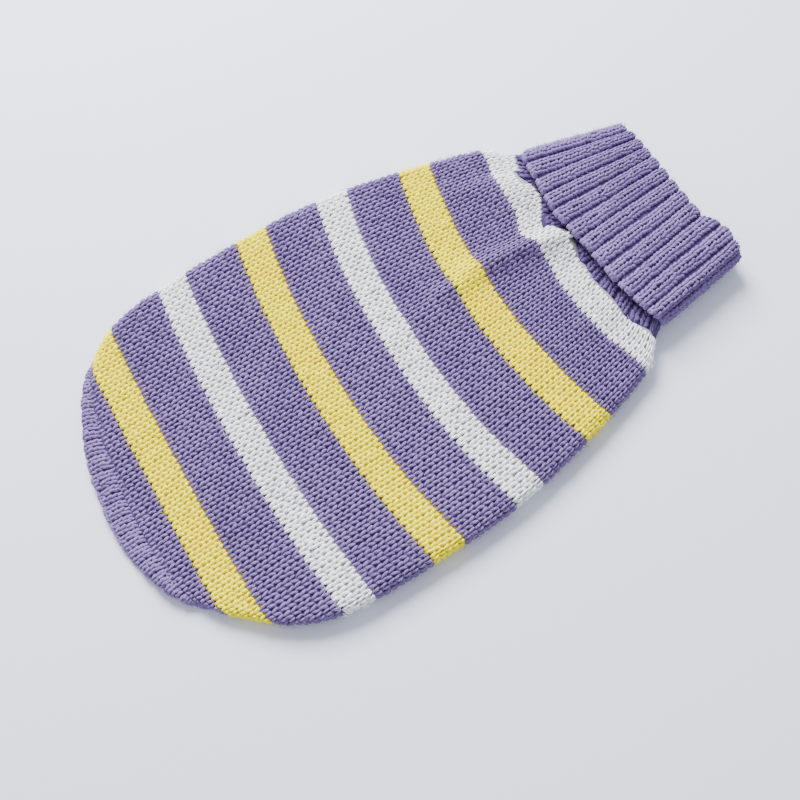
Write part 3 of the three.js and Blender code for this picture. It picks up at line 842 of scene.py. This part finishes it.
# A groove runs along the hem seam
def backPlace(course, wale, depth):
    x, y = clothPlace(course, wale)
    groove = back["groove"] * np.exp(-((x - hemX(y)) / back["grooveWidth"]) ** 2)
    return drape(x, y, depth + groove)


def onBack(course, wale):
    x, y = clothPlace(course, wale)
    inNeck = x < neckSeamX(y) - 0.5
    inTail = x > hemX(y) - 0.6
    inside = np.abs(y) < spreadHalf(x) - legHoleAt(x) - 1.2
    return inNeck & inTail & inside


def backStitches(yarnName):
    found = []
    starts = stripes["course"]
    ends = (*starts[1:], lastCourse)
    waleCentres = np.arange(-back["wales"] + 0.5, back["wales"])
    for yarn, start, end in zip(stripes["yarn"], starts, ends):
        if yarn != yarnName:
            continue
        course, wale = np.meshgrid(np.arange(start, end), waleCentres, indexing="ij")
        course, wale = course.ravel().astype(float), wale.ravel()
        keep = onBack(course + 0.45, wale)
        found.append(np.stack([course[keep], wale[keep]], -1))
    return np.concatenate(found)


# The shell follows the same wales, squeezed past the leg holes
backRows = 78
tailRows = 30
backColumns = 96
holeEdgeFrom = 0.8


def backShellGrid(depth):
    across = np.linspace(-1, 1, backColumns + 1)
    spread = np.sin(across * math.pi / 2) * 0.3 + across * 0.7
    startX = neckSeamX(spread * clothHalf(neckX)) - 0.1
    xs, ys = [], []
    for row in range(backRows + 1):
        x = startX + (sideSeamEndX - startX) * (row / backRows)
        full = clothHalf(x)
        edge = 1 - legHoleAt(x) / full
        reach = np.abs(spread)
        squeezed = holeEdgeFrom + (reach - holeEdgeFrom) * (edge - holeEdgeFrom) / (1 - holeEdgeFrom)
        xs.append(x)
        ys.append(np.sign(spread) * np.where(reach < holeEdgeFrom, reach, squeezed) * full)
    for row in range(1, tailRows + 1):
        y = spread * tailHalf
        xs.append(sideSeamEndX + (hemX(y) + 0.3 - sideSeamEndX) * (row / tailRows))
        ys.append(y)
    x, y = np.array(xs), np.array(ys)
    return x, y, drape(x.ravel(), y.ravel(), np.full(x.size, depth)).reshape(*x.shape, 3)


# Which course a place in the cloth belongs to, for the shell's stripes
def courseAt(x, y):
    middle = x
    for _ in range(4):
        course = np.interp(middle, (*stripes["x"], lastCourseX), (*stripes["course"], lastCourse))
        middle = x - courseBend(course, middle, y)
    return np.interp(middle, (*stripes["x"], lastCourseX), (*stripes["course"], lastCourse))


def makeBack():
    x, y, outer = backShellGrid(back["shellOut"])
    inner = backShellGrid(wall)[2]
    map = np.stack([y / back["wale"], (courseAt(x, y) - firstCourse) / courseSpan], -1)
    shell = shellMesh("back_cloth", outer, inner, map, stripedHoleShade)
    template = legTemplate(stitchLeg, back["wale"], back["course"], 5)
    coarse = legTemplate(stitchLeg, back["wale"], back["course"], 4)
    pieces = []
    for yarnName in ("lilac", "yellow", "white"):
        stitches = backStitches(yarnName)
        top = np.abs(stitches[:, 1]) < back["foldWale"]
        if yarnName == "lilac":
            far = stitches[:, 1] > 0
            parts = (("back_stitches_lilac_far", top & far), ("back_stitches_lilac_near", top & ~far))
        else:
            parts = (("back_stitches_" + yarnName, top),)
        for name, chosen in parts:
            pieces.append(knit(name, stitches[chosen], template, backPlace, yarns[yarnName]))
        name = "side_stitches_" + yarnName
        pieces.append(knit(name, stitches[~top], coarse, backPlace, yarns[yarnName]))
    pieces += backFuzz()
    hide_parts("back_panel")
    area = backFlatArea()


def backFuzz():
    found = []
    for yarnName, count in (("lilac", 1700), ("yellow", 650), ("white", 650)):
        stitches = backStitches(yarnName)
        stitches = stitches[np.abs(stitches[:, 1]) < back["foldWale"] + 1.5]
        nearFold = np.abs(np.abs(stitches[:, 1]) - back["foldWale"] + 1) < 3
        weight = np.where(nearFold, 3.0, 1.0)
        chosen = rng.choice(len(stitches), count, p=weight / weight.sum())
        spots = stitches[chosen] + rng.uniform(-0.4, 0.4, (count, 2))
        found.append(fuzz("back_fuzz_" + yarnName, spots, backPlace, (1.1, 0.9), yarns[yarnName]))
    return found


# Flat area of the cut, in square metres: strips across the panel, less the leg holes
def backFlatArea():
    bodyX = np.linspace(sideSeamEndX, neckX, 200)
    body = np.trapz(2 * (clothHalf(bodyX) - legHoleAt(bodyX)), bodyX)
    tailY = np.linspace(-tailHalf, tailHalf, 400)
    tail = np.trapz(sideSeamEndX - hemX(tailY), tailY)
    return float(body + tail) * mm ** 2


makeBack()
print("back panel knitted")

# Belly panel, flat on the table between the side seams

belly = {"wale": 4.0, "course": 3.25, "shellOut": 1.6, "rows": 60, "columns": 40}


def bellyHem(y):
    past = np.abs(y) - (seamHalf(sideSeamEndX) - hemCorner)
    drop = hemCorner - np.sqrt(np.maximum(0, hemCorner ** 2 - np.maximum(past, 0) ** 2))
    return bellyHemX - drop


def bellyPlace(course, wale, depth):
    x = bellyHemX - hemCorner + course * belly["course"]
    y = wale * belly["wale"]
    return np.stack([x, y, np.maximum(depth, 0)], -1)


def bellyShellGrid(z):
    across = np.sin(math.pi * (np.linspace(0, 1, belly["columns"] + 1) - 0.5))
    rough = across * (seamHalf(sideSeamEndX) - 0.3)
    startX = neckX - 0.3
    grid = []
    for row in range(belly["rows"] + 1):
        x = startX + (bellyHem(rough) + 0.3 - startX) * (row / belly["rows"])
        y = across * (seamHalf(x) - 0.3 - legHoleAt(x))
        grid.append(np.stack([x, y, np.full(x.shape, z)], -1))
    return np.array(grid)


def makeBelly(legBands):
    outer = bellyShellGrid(belly["shellOut"])
    inner = bellyShellGrid(wall)
    shell = shellMesh("belly_cloth", outer, inner, outer[..., :2] / belly["wale"], plainHoleShade)
    courses = np.arange(0, (neckX - bellyHemX + hemCorner) / belly["course"] - 0.5)
    wales = np.arange(-17, 17) + 0.5
    course, wale = np.meshgrid(courses, wales, indexing="ij")
    course, wale = course.ravel(), wale.ravel()
    x = bellyHemX - hemCorner + (course + 0.45) * belly["course"]
    y = wale * belly["wale"]
    keep = (x > bellyHem(y) + 0.8) & (x < neckX - 1) & (np.abs(y) < seamHalf(x) - legHoleAt(x) - 1.6)
    stitches = np.stack([course[keep], wale[keep]], -1)
    coarse = legTemplate(plainLeg, belly["wale"], belly["course"], 4)
    piece = knit("belly_stitches", stitches, coarse, bellyPlace, yarns["lilac"])
    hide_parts("belly_panel")
    half = float(seamHalf(sideSeamEndX))
    xs = np.linspace(bellyHemX, neckX, 200)
    area = float(np.trapz(2 * (seamHalf(xs) - legHoleAt(xs)), xs)) * mm ** 2


# Floor and light

studio = {
    "floor": (227, 232, 249),
    "floorSize": 3.0,
    "keyPlace": (0.18, 0.98, 0.84),
    "keySize": 0.65,
    "keyPower": 59.0,
    "world": 0.88,
    "worldColour": (0.93, 0.95, 1.0),
}


def makeFloor():
    bpy.ops.object.select_all(action="DESELECT")
    bpy.ops.mesh.primitive_plane_add(size=studio["floorSize"], location=(0, 0, 0))
    plane = bpy.context.object
    plane.name = "floor"
    material, tree, shader = startMaterial("pale_board")
    place = tree.nodes.new("ShaderNodeTexCoord")
    slow = noiseNode(tree, place.outputs["Object"], 3.0)
    darker = linear([channel * 0.985 for channel in studio["floor"]])
    colour = mixNode(tree, slow, linear(studio["floor"]), darker)
    tree.links.new(colour, shader.inputs["Base Color"])
    shader.inputs["Roughness"].default_value = 0.7
    plane.data.materials.append(material)
    return plane


def makeLight():
    data = bpy.data.lights.new("window_light", "AREA")
    data.energy = studio["keyPower"]
    data.size = studio["keySize"]
    light = bpy.data.objects.new("window_light", data)
    light.location = studio["keyPlace"]
    light.rotation_euler = (-Vector(studio["keyPlace"])).to_track_quat("-Z", "Y").to_euler()
    scene.collection.objects.link(light)
    world = bpy.data.worlds.new("soft_room")
    world.use_nodes = True
    background = world.node_tree.nodes["Background"]
    background.inputs["Color"].default_value = (*studio["worldColour"], 1)
    background.inputs["Strength"].default_value = studio["world"]
    scene.world = world


floor = makeFloor()
makeLight()

# Collar: its ribs run out from the free edge, over the fold and into the mouth

collar = {
    "ribs": 10,  # across the straight top
    "endRibs": 3,  # round each end
    "belowRibs": 10,
    "middle": 8.3,
    "straight": 45.8,
    "foldStraight": 36.6,
    "hollow": 2.35,
    "standOut": 5.15,
    "turnIn": 5.45,
    "turnOut": 8.3,
    "foldX": 140.4,
    "freeBelowX": 99.5,
    "nearLead": 6.0,
    "leadFrom": 18.2,
    "leadReach": 16.0,
    "drift": -2.5,
    "lean": 5.0,
    "neckHalf": 53.0,
    "neckHeight": 5.5,
    "course": 2.05,
    "crest": 0.9,  # top of a rib over the smooth form
    "valley": 2.0,  # depth of the valleys under the crest
    "waleShare": 0.452,  # of a rib's pitch, for each of its two wales
    "standShare": 0.55,  # of the ribs' height that is left in the stretched stand
    "standFall": 1.0,
    "ribShape": 2.3,  # how sharply the ribs fall into their valleys
    "flatter": 0.9,
    "flatterReach": 7,
    "rounded": 1.2,  # how far the fold's two corners are rounded back
    "wander": 0.03,  # how far the ribs stray to the side
    "insideCourses": 8,
}
collarRibs = collar["ribs"] + 2 * collar["endRibs"] + collar["belowRibs"]
turnMiddle = (collar["hollow"] + collar["turnOut"]) / 2
turnRadius = (collar["turnOut"] - collar["hollow"]) / 2


# Round the mouth in ribs: part across the top, then the near end, the underside and the far end
def collarStop(rib):
    rib = np.mod(rib, collarRibs)
    top, end, below = collar["ribs"], collar["endRibs"], collar["belowRibs"]
    across = np.interp(rib, (0, top, top + end, top + end + below, collarRibs), (1, -1, -1, 1, 1))
    turn = np.interp(rib, (0, top, top + end, top + end + below, collarRibs), (0, 0, 1, 1, 0))
    return across, turn


def freeX(across, turn):
    edge = np.interp(across * collar["straight"], collarEdge["y"], collarEdge["x"])
    return edge + (collar["freeBelowX"] - edge) * smooth(turn * 1.6)


def collarPoint(across, turn, x, height, part):
    straight = collar["straight"] + (collar["foldStraight"] - collar["straight"]) * part
    angle = np.pi * turn
    y = across * straight + collar["lean"] * part * (1 - across ** 2) + collar["drift"] * part
    lead = collar["nearLead"] * smooth((-y - collar["leadFrom"]) / collar["leadReach"]) * part
    lead = lead - collar["rounded"] * np.clip(np.abs(across) * 4 - 3, 0, 1) ** 2 * np.clip(part, 0, 1) ** 3
    z = collar["middle"] + height * np.cos(angle)
    return np.stack([x + lead, y + np.sign(across) * height * np.sin(angle), aboveTable(z)], -1)


def ribFall(rib):
    across = np.abs(2 * (rib - np.floor(rib)) - 1)
    return -collar["crest"] + collar["valley"] * across ** collar["ribShape"]


# The ribs flatten a little where they turn over the fold
def ribFallAt(rib, fromFold):
    across = np.abs(2 * (rib - np.floor(rib)) - 1)
    near = np.exp(-(fromFold / collar["flatterReach"]) ** 2)
    return ribFall(rib) - collar["flatter"] * near * across ** collar["ribShape"]


# Reach is the way from the free edge along the outer face, over the fold and back into the mouth
def turnPlace(rib, reach, depth):
    across, turn = collarStop(rib)
    free = freeX(across, turn)
    flat = collar["foldX"] - free
    bend = turnRadius * np.pi
    swing = np.clip((reach - flat) / turnRadius, 0, np.pi)
    radius = turnRadius - depth
    x = np.where(reach < flat, free + reach,
                 np.where(reach < flat + bend, collar["foldX"] + radius * np.sin(swing),
                          collar["foldX"] - (reach - flat - bend)))
    height = turnMiddle + radius * np.cos(swing)
    part = np.clip((x - free) / flat, 0, 1)
    return collarPoint(across, turn, x, height, part)


# At the free edge each rib bulges out and turns down
freeEdge = {"reach": 2.6, "bulge": 0.8, "out": 0.5, "down": 0.9, "downReach": 1.2}


def ribbedPlace(course, wale, depth):
    reach = course * collar["course"]
    full = 1 - np.abs(2 * (wale - np.floor(wale)) - 1) ** 2
    edge = np.exp(-np.maximum(reach + 1, 0) / freeEdge["reach"])
    down = freeEdge["down"] * np.clip(-reach / freeEdge["downReach"], 0, 1.5) ** 2
    fromFold = reach - (collar["foldX"] - freeX(*collarStop(wale))) - turnRadius
    fall = ribFallAt(wale, fromFold)
    stray = collar["wander"] * np.sin(1.7 * np.floor(wale) + reach / 9)
    reach = reach - freeEdge["bulge"] * full * edge - freeEdge["out"] * edge
    return turnPlace(wale + stray, reach, depth + fall + down)


def standFall(rib):
    return collar["standFall"] + collar["standShare"] * ribFall(rib)


# The stand rises from the neck seam and goes in under the turned-down layer
def standPlace(course, wale, depth):
    across, turn = collarStop(wale)
    fall = depth + standFall(wale)
    start = np.where(turn == 0, neckSeamX(across * collar["neckHalf"]), neckX) + 0.1
    end = freeX(across, turn) + 3.5
    x = start + course * collar["course"]
    part = np.clip((x - start) / (end - start), 0, 1.5)
    half = collar["neckHalf"] + (collar["straight"] - collar["neckHalf"]) * part
    height = collar["neckHeight"] + (collar["standOut"] - collar["neckHeight"]) * part - fall
    middle = collar["neckHeight"] + (collar["middle"] - collar["neckHeight"]) * part
    angle = np.pi * turn
    y = across * half + np.sign(across) * height * np.sin(angle)
    return np.stack([x, y, np.maximum(middle + height * np.cos(angle), 0)], -1)


# The cloth between the strands, coloured dark as painted shade in the holes between them
collarShell = {"perRib": 8, "depth": 1.4, "shallower": 0.55, "tuck": 2.5, "tuckedUnder": 0.5}
collarStations = 28 * collarShell["perRib"]


def collarShellStations():
    ribs = np.arange(collarStations) * collarRibs / collarStations
    across, turn = collarStop(ribs)
    free = freeX(across, turn)
    seamX = np.where(turn == 0, neckSeamX(across * collar["neckHalf"]), neckX) + 0.1
    between = np.abs(2 * (ribs - np.floor(ribs)) - 1)
    fall = ribFall(ribs) + collarShell["depth"] - collarShell["shallower"] * between ** 3
    foldFall = fall - 0.8 * collar["flatter"] * between ** collar["ribShape"]
    loop = []

    def layer(x, height):
        part = np.clip((x - free) / (collar["foldX"] - free), 0, 1)
        loop.append(collarPoint(across, turn, x, height, part))

    def seam(height, inward):
        angle = np.pi * turn
        y = across * collar["neckHalf"] + np.sign(across) * height * np.sin(angle)
        z = np.maximum(collar["neckHeight"] + height * np.cos(angle), 0.2)
        loop.append(np.stack([seamX - inward, y, z], -1))

    foldEnd = np.full(ribs.shape, collar["foldX"])
    # the neck edge goes in under the body
    tucked = collar["neckHeight"] - wall - collarShell["tuckedUnder"]
    seam(np.full(ribs.shape, tucked - 0.6), collarShell["tuck"])
    for share in (0.04, 0.25, 0.5, 0.62, 0.7, 0.85, 1):
        layer(free + (foldEnd - free) * share, collar["hollow"] + 0.3 + fall * smooth((share - 0.55) / 0.15))
    for angle in (20, 45, 70, 95, 120, 145, 165):
        radians = math.radians(angle)
        radius = turnRadius - foldFall * 0.85
        layer(collar["foldX"] + radius * math.sin(radians), turnMiddle - radius * math.cos(radians))
    for share in np.linspace(1, 0.03, 16):
        layer(free + (foldEnd - free) * share, collar["turnOut"] - fall)
    layer(free + 0.4, (collar["turnOut"] - fall + collar["turnIn"]) / 2)
    layer(free + 2.0, np.full(ribs.shape, collar["turnIn"]))
    layer(foldEnd - 1, np.full(ribs.shape, collar["turnIn"]))
    layer(foldEnd - 1, np.full(ribs.shape, collar["standOut"]))
    under = standFall(ribs) + 1.1
    layer(free + 8, np.full(ribs.shape, collar["standOut"] - 0.5))
    layer(free + 5, collar["standOut"] - under)
    seam(collar["neckHeight"] - under, 0)
    seam(np.full(ribs.shape, tucked), collarShell["tuck"])
    return np.stack(loop, 1)


ribLeg = {
    "course": (-0.42, -0.10, 0.25, 0.60, 0.95, 1.25),
    "wale": (0.12, 0.14, 0.20, 0.27, 0.34, 0.36),
    "depth": (2.1, 1.2, 0.9, 0.85, 1.1, 2.1),
    "size": (0.62, 0.92, 1.0, 1.0, 0.92, 0.62),
    "halfWidth": 0.88,
    "halfDepth": 0.80,
    "tip": 0.10,
}

# Bound-off edge: a chain of plump loops that lie across the ends of the wales
edgeLeg = {
    "course": (0.55, 0.10, -0.28, -0.32, 0.00, 0.45),
    "wale": (-0.10, -0.03, 0.10, 0.30, 0.44, 0.50),
    "depth": (2.0, 1.2, 0.95, 0.95, 1.2, 2.0),
    "size": (0.65, 0.95, 1.05, 1.05, 0.95, 0.65),
    "halfWidth": 0.80,
    "halfDepth": 0.85,
    "tip": 0.05,
}


def ribWales(first, last):
    wales = []
    for rib in range(first, last):
        for hand in (-1, 1):
            wales.append(rib + 0.5 + hand * collar["waleShare"] / 2)
    return np.array(wales)


# Rib stitches are measured in ribs, so their legs are narrowed to a wale's share
def narrowed(leg, share):
    slim = dict(leg)
    slim["wale"] = tuple(value * share for value in leg["wale"])
    return slim


def gridOf(courses, wales):
    course, wale = np.meshgrid(courses, wales, indexing="ij")
    return np.stack([course.ravel(), wale.ravel()], -1)


def makeCollar():
    shell = loopMesh("collar_cloth", collarShellStations(), ribHoleShade)
    pitch = 2 * collar["straight"] / collar["ribs"]
    slim = narrowed(ribLeg, collar["waleShare"])
    fine = legTemplate(slim, pitch, collar["course"], 5)
    under = legTemplate(narrowed(plainLeg, collar["waleShare"]), pitch, collar["course"], 4)
    turned = turnRadius * np.pi + collar["insideCourses"] * collar["course"]
    outerCourses = int((collar["foldX"] - 91 + turned) / collar["course"])
    lowCourses = int((collar["foldX"] - collar["freeBelowX"] + turned) / collar["course"])
    top = collar["ribs"] + collar["endRibs"]
    farEnd = collarRibs - collar["endRibs"]
    yarn = yarns["lilacRib"]
    topGrid = gridOf(np.arange(outerCourses), ribWales(0, top))
    farGrid = gridOf(np.arange(outerCourses), ribWales(farEnd, collarRibs))
    underGrid = gridOf(np.arange(lowCourses), ribWales(top, farEnd))
    pieces = [
        knit("collar_stitches_top", topGrid, fine, ribbedPlace, yarn),
        knit("collar_stitches_far_end", farGrid, fine, ribbedPlace, yarn),
        knit("collar_stitches_under", underGrid, under, ribbedPlace, yarn),
    ]
    edge = legTemplate(narrowed(edgeLeg, collar["waleShare"]), pitch, collar["course"], 6)
    edgeGrid = gridOf([0], ribWales(0, collarRibs))
    pieces.append(knit("collar_bound_edge", edgeGrid, edge, ribbedPlace, yarn))
    # The stand's stitches are the lilac darkened as painted shade under the collar's free edge
    pieces.append(knit("stand_stitches", gridOf(np.arange(5), ribWales(0, collarRibs)),
                       fine, standPlace, yarns["lilacStandPaintedShade"]))
    topHairs, endHairs = 900, 260
    rib = np.concatenate([rng.uniform(0, top, topHairs), rng.uniform(farEnd, collarRibs, endHairs)])
    course = rng.uniform(0, (collar["foldX"] - 88 + turnRadius * 2) / collar["course"], len(rib))
    pieces.append(fuzz("collar_fuzz", np.stack([course, rib], -1), ribbedPlace, (1.7, 0.42), yarn))
    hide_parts("collar")


makeCollar()
print("collar knitted")

# Hem band, ribbed all round the hem

hem = {
    "band": 9.7,
    "ribPitch": 7.4,
    "course": 2.45,
    "scallop": 0.9,
    "waleShare": 0.475,
    "shellOut": 1.0,
    "rolledUnder": 1.3,
    "fullAt": 4.8,
    "fullReach": 3.4,
    "seamGroove": 2.2,
    "seamReach": 1.7,
}


def hemPath():
    angle = np.linspace(-math.pi / 2, math.pi / 2, 401)
    reach = tailHalf * hemSpread * np.abs(np.sin(angle)) ** (2 / hemRoundness)
    y = reach * np.sign(np.sin(angle))
    x = hemX(y)
    length = np.concatenate([[0], np.cumsum(np.hypot(np.diff(x), np.diff(y)))])
    return x, y, length


hemPathX, hemPathY, hemLength = hemPath()
hemRibs = int(round(hemLength[-1] / hem["ribPitch"]))


def hemSpot(rib, out, depth):
    at = rib / hemRibs * hemLength[-1]
    x = np.interp(at, hemLength, hemPathX)
    y = np.interp(at, hemLength, hemPathY)
    stepAt = 1.0
    dx = np.interp(at + stepAt, hemLength, hemPathX) - np.interp(at - stepAt, hemLength, hemPathX)
    dy = np.interp(at + stepAt, hemLength, hemPathY) - np.interp(at - stepAt, hemLength, hemPathY)
    run = np.hypot(dx, dy)
    return drape(x - dy / run * out, y + dx / run * out, depth)


# The ribs are fullest halfway over the band and sink into a groove at the seam
def hemFall(rib, out):
    across = np.abs(2 * (rib - np.floor(rib)) - 1)
    full = np.exp(-((out - hem["fullAt"]) / hem["fullReach"]) ** 2)
    groove = hem["seamGroove"] * np.exp(-(out / hem["seamReach"]) ** 2)
    return -0.25 - 1.1 * full + (0.2 + 0.6 * full) * across ** 2.2 + groove


def hemPlace(course, wale, depth):
    out = hem["band"] - course * hem["course"]
    full = 1 - np.abs(2 * (wale - np.floor(wale)) - 1) ** 2
    bulge = hem["scallop"] * full * np.clip(out / hem["band"], 0, 1)
    return hemSpot(wale, out + bulge - hem["rolledUnder"], depth + hemFall(wale, out))


def tailBandStations():
    ribs = np.arange(hemRibs * 8 + 1) / 8
    band = hem["band"]
    loop = []
    for out in (0.2, 0.18 * band, 0.36 * band, 0.54 * band, 0.72 * band, band - 1.3):
        loop.append(hemSpot(ribs, np.full(ribs.shape, out), hem["shellOut"] + hemFall(ribs, out)))
    for out, depth in ((band - 1.0, wall * 0.7), (0.7 * band, wall), (0.3 * band, wall), (0.2, wall)):
        loop.append(hemSpot(ribs, np.full(ribs.shape, out), np.full(ribs.shape, depth)))
    return np.stack(loop, 1)


def bellyBandPath():
    half = float(seamHalf(sideSeamEndX))
    inner = half - hemCorner
    rows = []
    for step in range(1, 8):
        angle = math.pi / 2 * step / 8
        x = bellyHemX - hemCorner + hemCorner * math.sin(angle)
        rows.append((x, inner + hemCorner * math.cos(angle), -math.sin(angle), -math.cos(angle)))
    for step in range(61):
        rows.append((bellyHemX, inner * (1 - step / 30), -1.0, 0.0))
    for step in range(7, 0, -1):
        angle = math.pi / 2 * step / 8
        x = bellyHemX - hemCorner + hemCorner * math.sin(angle)
        rows.append((x, -inner - hemCorner * math.cos(angle), -math.sin(angle), math.cos(angle)))
    return np.array(rows)


bellyBand = bellyBandPath()
bellyBandSteps = np.hypot(np.diff(bellyBand[:, 0]), np.diff(bellyBand[:, 1]))
bellyBandLength = np.concatenate([[0], np.cumsum(bellyBandSteps)])
bellyBandRibs = int(round(bellyBandLength[-1] / hem["ribPitch"]))


def bellyBandSpot(rib, out, depth):
    at = rib / bellyBandRibs * bellyBandLength[-1]
    x, y, nx, ny = (np.interp(at, bellyBandLength, bellyBand[:, column]) for column in range(4))
    return np.stack([x + nx * out, y + ny * out, np.maximum(depth, 0)], -1)


def bellyBandPlace(course, wale, depth):
    across = np.abs(2 * (wale - np.floor(wale)) - 1)
    return bellyBandSpot(wale, hem["band"] - 0.6 - course * hem["course"], depth + 0.6 * across ** 2.4)


def bellyBandStations():
    ribs = np.linspace(0, bellyBandRibs, bellyBandRibs * 4 + 1)
    loop = []
    for out, depth in ((0, 1.2), (0.2, 1.2), (0.4, 1.2), (0.6, 1.2), (0.8, 1.3), (0.92, 1.6),
                       (0.93, 2.2), (0.75, wall), (0.3, wall), (0, wall)):
        loop.append(bellyBandSpot(ribs, np.full(ribs.shape, out * hem["band"]), np.full(ribs.shape, depth)))
    return np.stack(loop, 1)


def bandWales(count):
    return np.array([rib + 0.5 + hand * hem["waleShare"] / 2 for rib in range(count) for hand in (-1, 1)])


def makeHemBand():
    stations = np.concatenate([tailBandStations(), bellyBandStations()])
    shell = loopMesh("hem_cloth", stations, ribHoleShade)
    template = legTemplate(narrowed(ribLeg, hem["waleShare"]), hem["ribPitch"], hem["course"], 5)
    plain = legTemplate(narrowed(plainLeg, hem["waleShare"]), hem["ribPitch"], hem["course"], 4)
    edge = legTemplate(narrowed(edgeLeg, hem["waleShare"]), hem["ribPitch"], hem["course"], 6)
    tailWales, bellyWales = bandWales(hemRibs), bandWales(bellyBandRibs)
    courses = np.arange(4)
    yarn = yarns["lilacRib"]
    pieces = [
        knit("hem_stitches", gridOf(courses, tailWales), template, hemPlace, yarn),
        knit("hem_bound_edge", gridOf([0], tailWales), edge, hemPlace, yarn),
        knit("belly_hem_stitches", gridOf(courses, bellyWales), plain, bellyBandPlace, yarn),
    ]
    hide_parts("hem_band")


makeHemBand()
print("hem band knitted")

# Leg bands, narrow ribbed rings in the leg holes

legBand = {"width": 4.8, "wales": 26, "course": 2.2}


def legBandSpot(side, around, inset, z):
    angle = 2 * np.pi * around
    x = legHole["x"] + (legHole["halfLength"] - inset * 2) * np.cos(angle)
    lens = (legHole["halfWidth"] - inset) * (1 - np.cos(angle) ** 2) * np.sign(np.sin(angle))
    return np.stack([x, side * (seamHalf(x) + lens), z], -1)


def makeLegBand(name, node, side):
    around = np.arange(112) / 112
    loop = []
    for inset, z in ((0.7, 1.1), (4.4, 1.1), (4.6, 1.6), (4.6, 2.6), (4.2, 3.1), (0.7, 3.1)):
        loop.append(legBandSpot(side, around, np.full(around.shape, inset), np.full(around.shape, z)))
    shell = loopMesh(name + "_cloth", np.stack(loop, 1), ribHoleShade)
    wales = legBand["wales"]

    def place(course, wale, depth):
        inset = np.clip(legBand["width"] - course * legBand["course"], 0.3, legBand["width"])
        return legBandSpot(side, wale / wales, inset, np.maximum(depth, 0))

    template = legTemplate(ribLeg, 4.0, legBand["course"], 4)
    stitches = gridOf(np.arange(2), np.arange(wales) + 0.5)
    piece = knit(name + "_stitches", stitches, template, place, yarns["lilacRib"], 0.4)
    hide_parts(node)
    return [shell, piece]


makeBelly([*makeLegBand("left_leg", "leg_band_left", 1), *makeLegBand("right_leg", "leg_band_right", -1)])
print("belly panel and leg bands knitted")
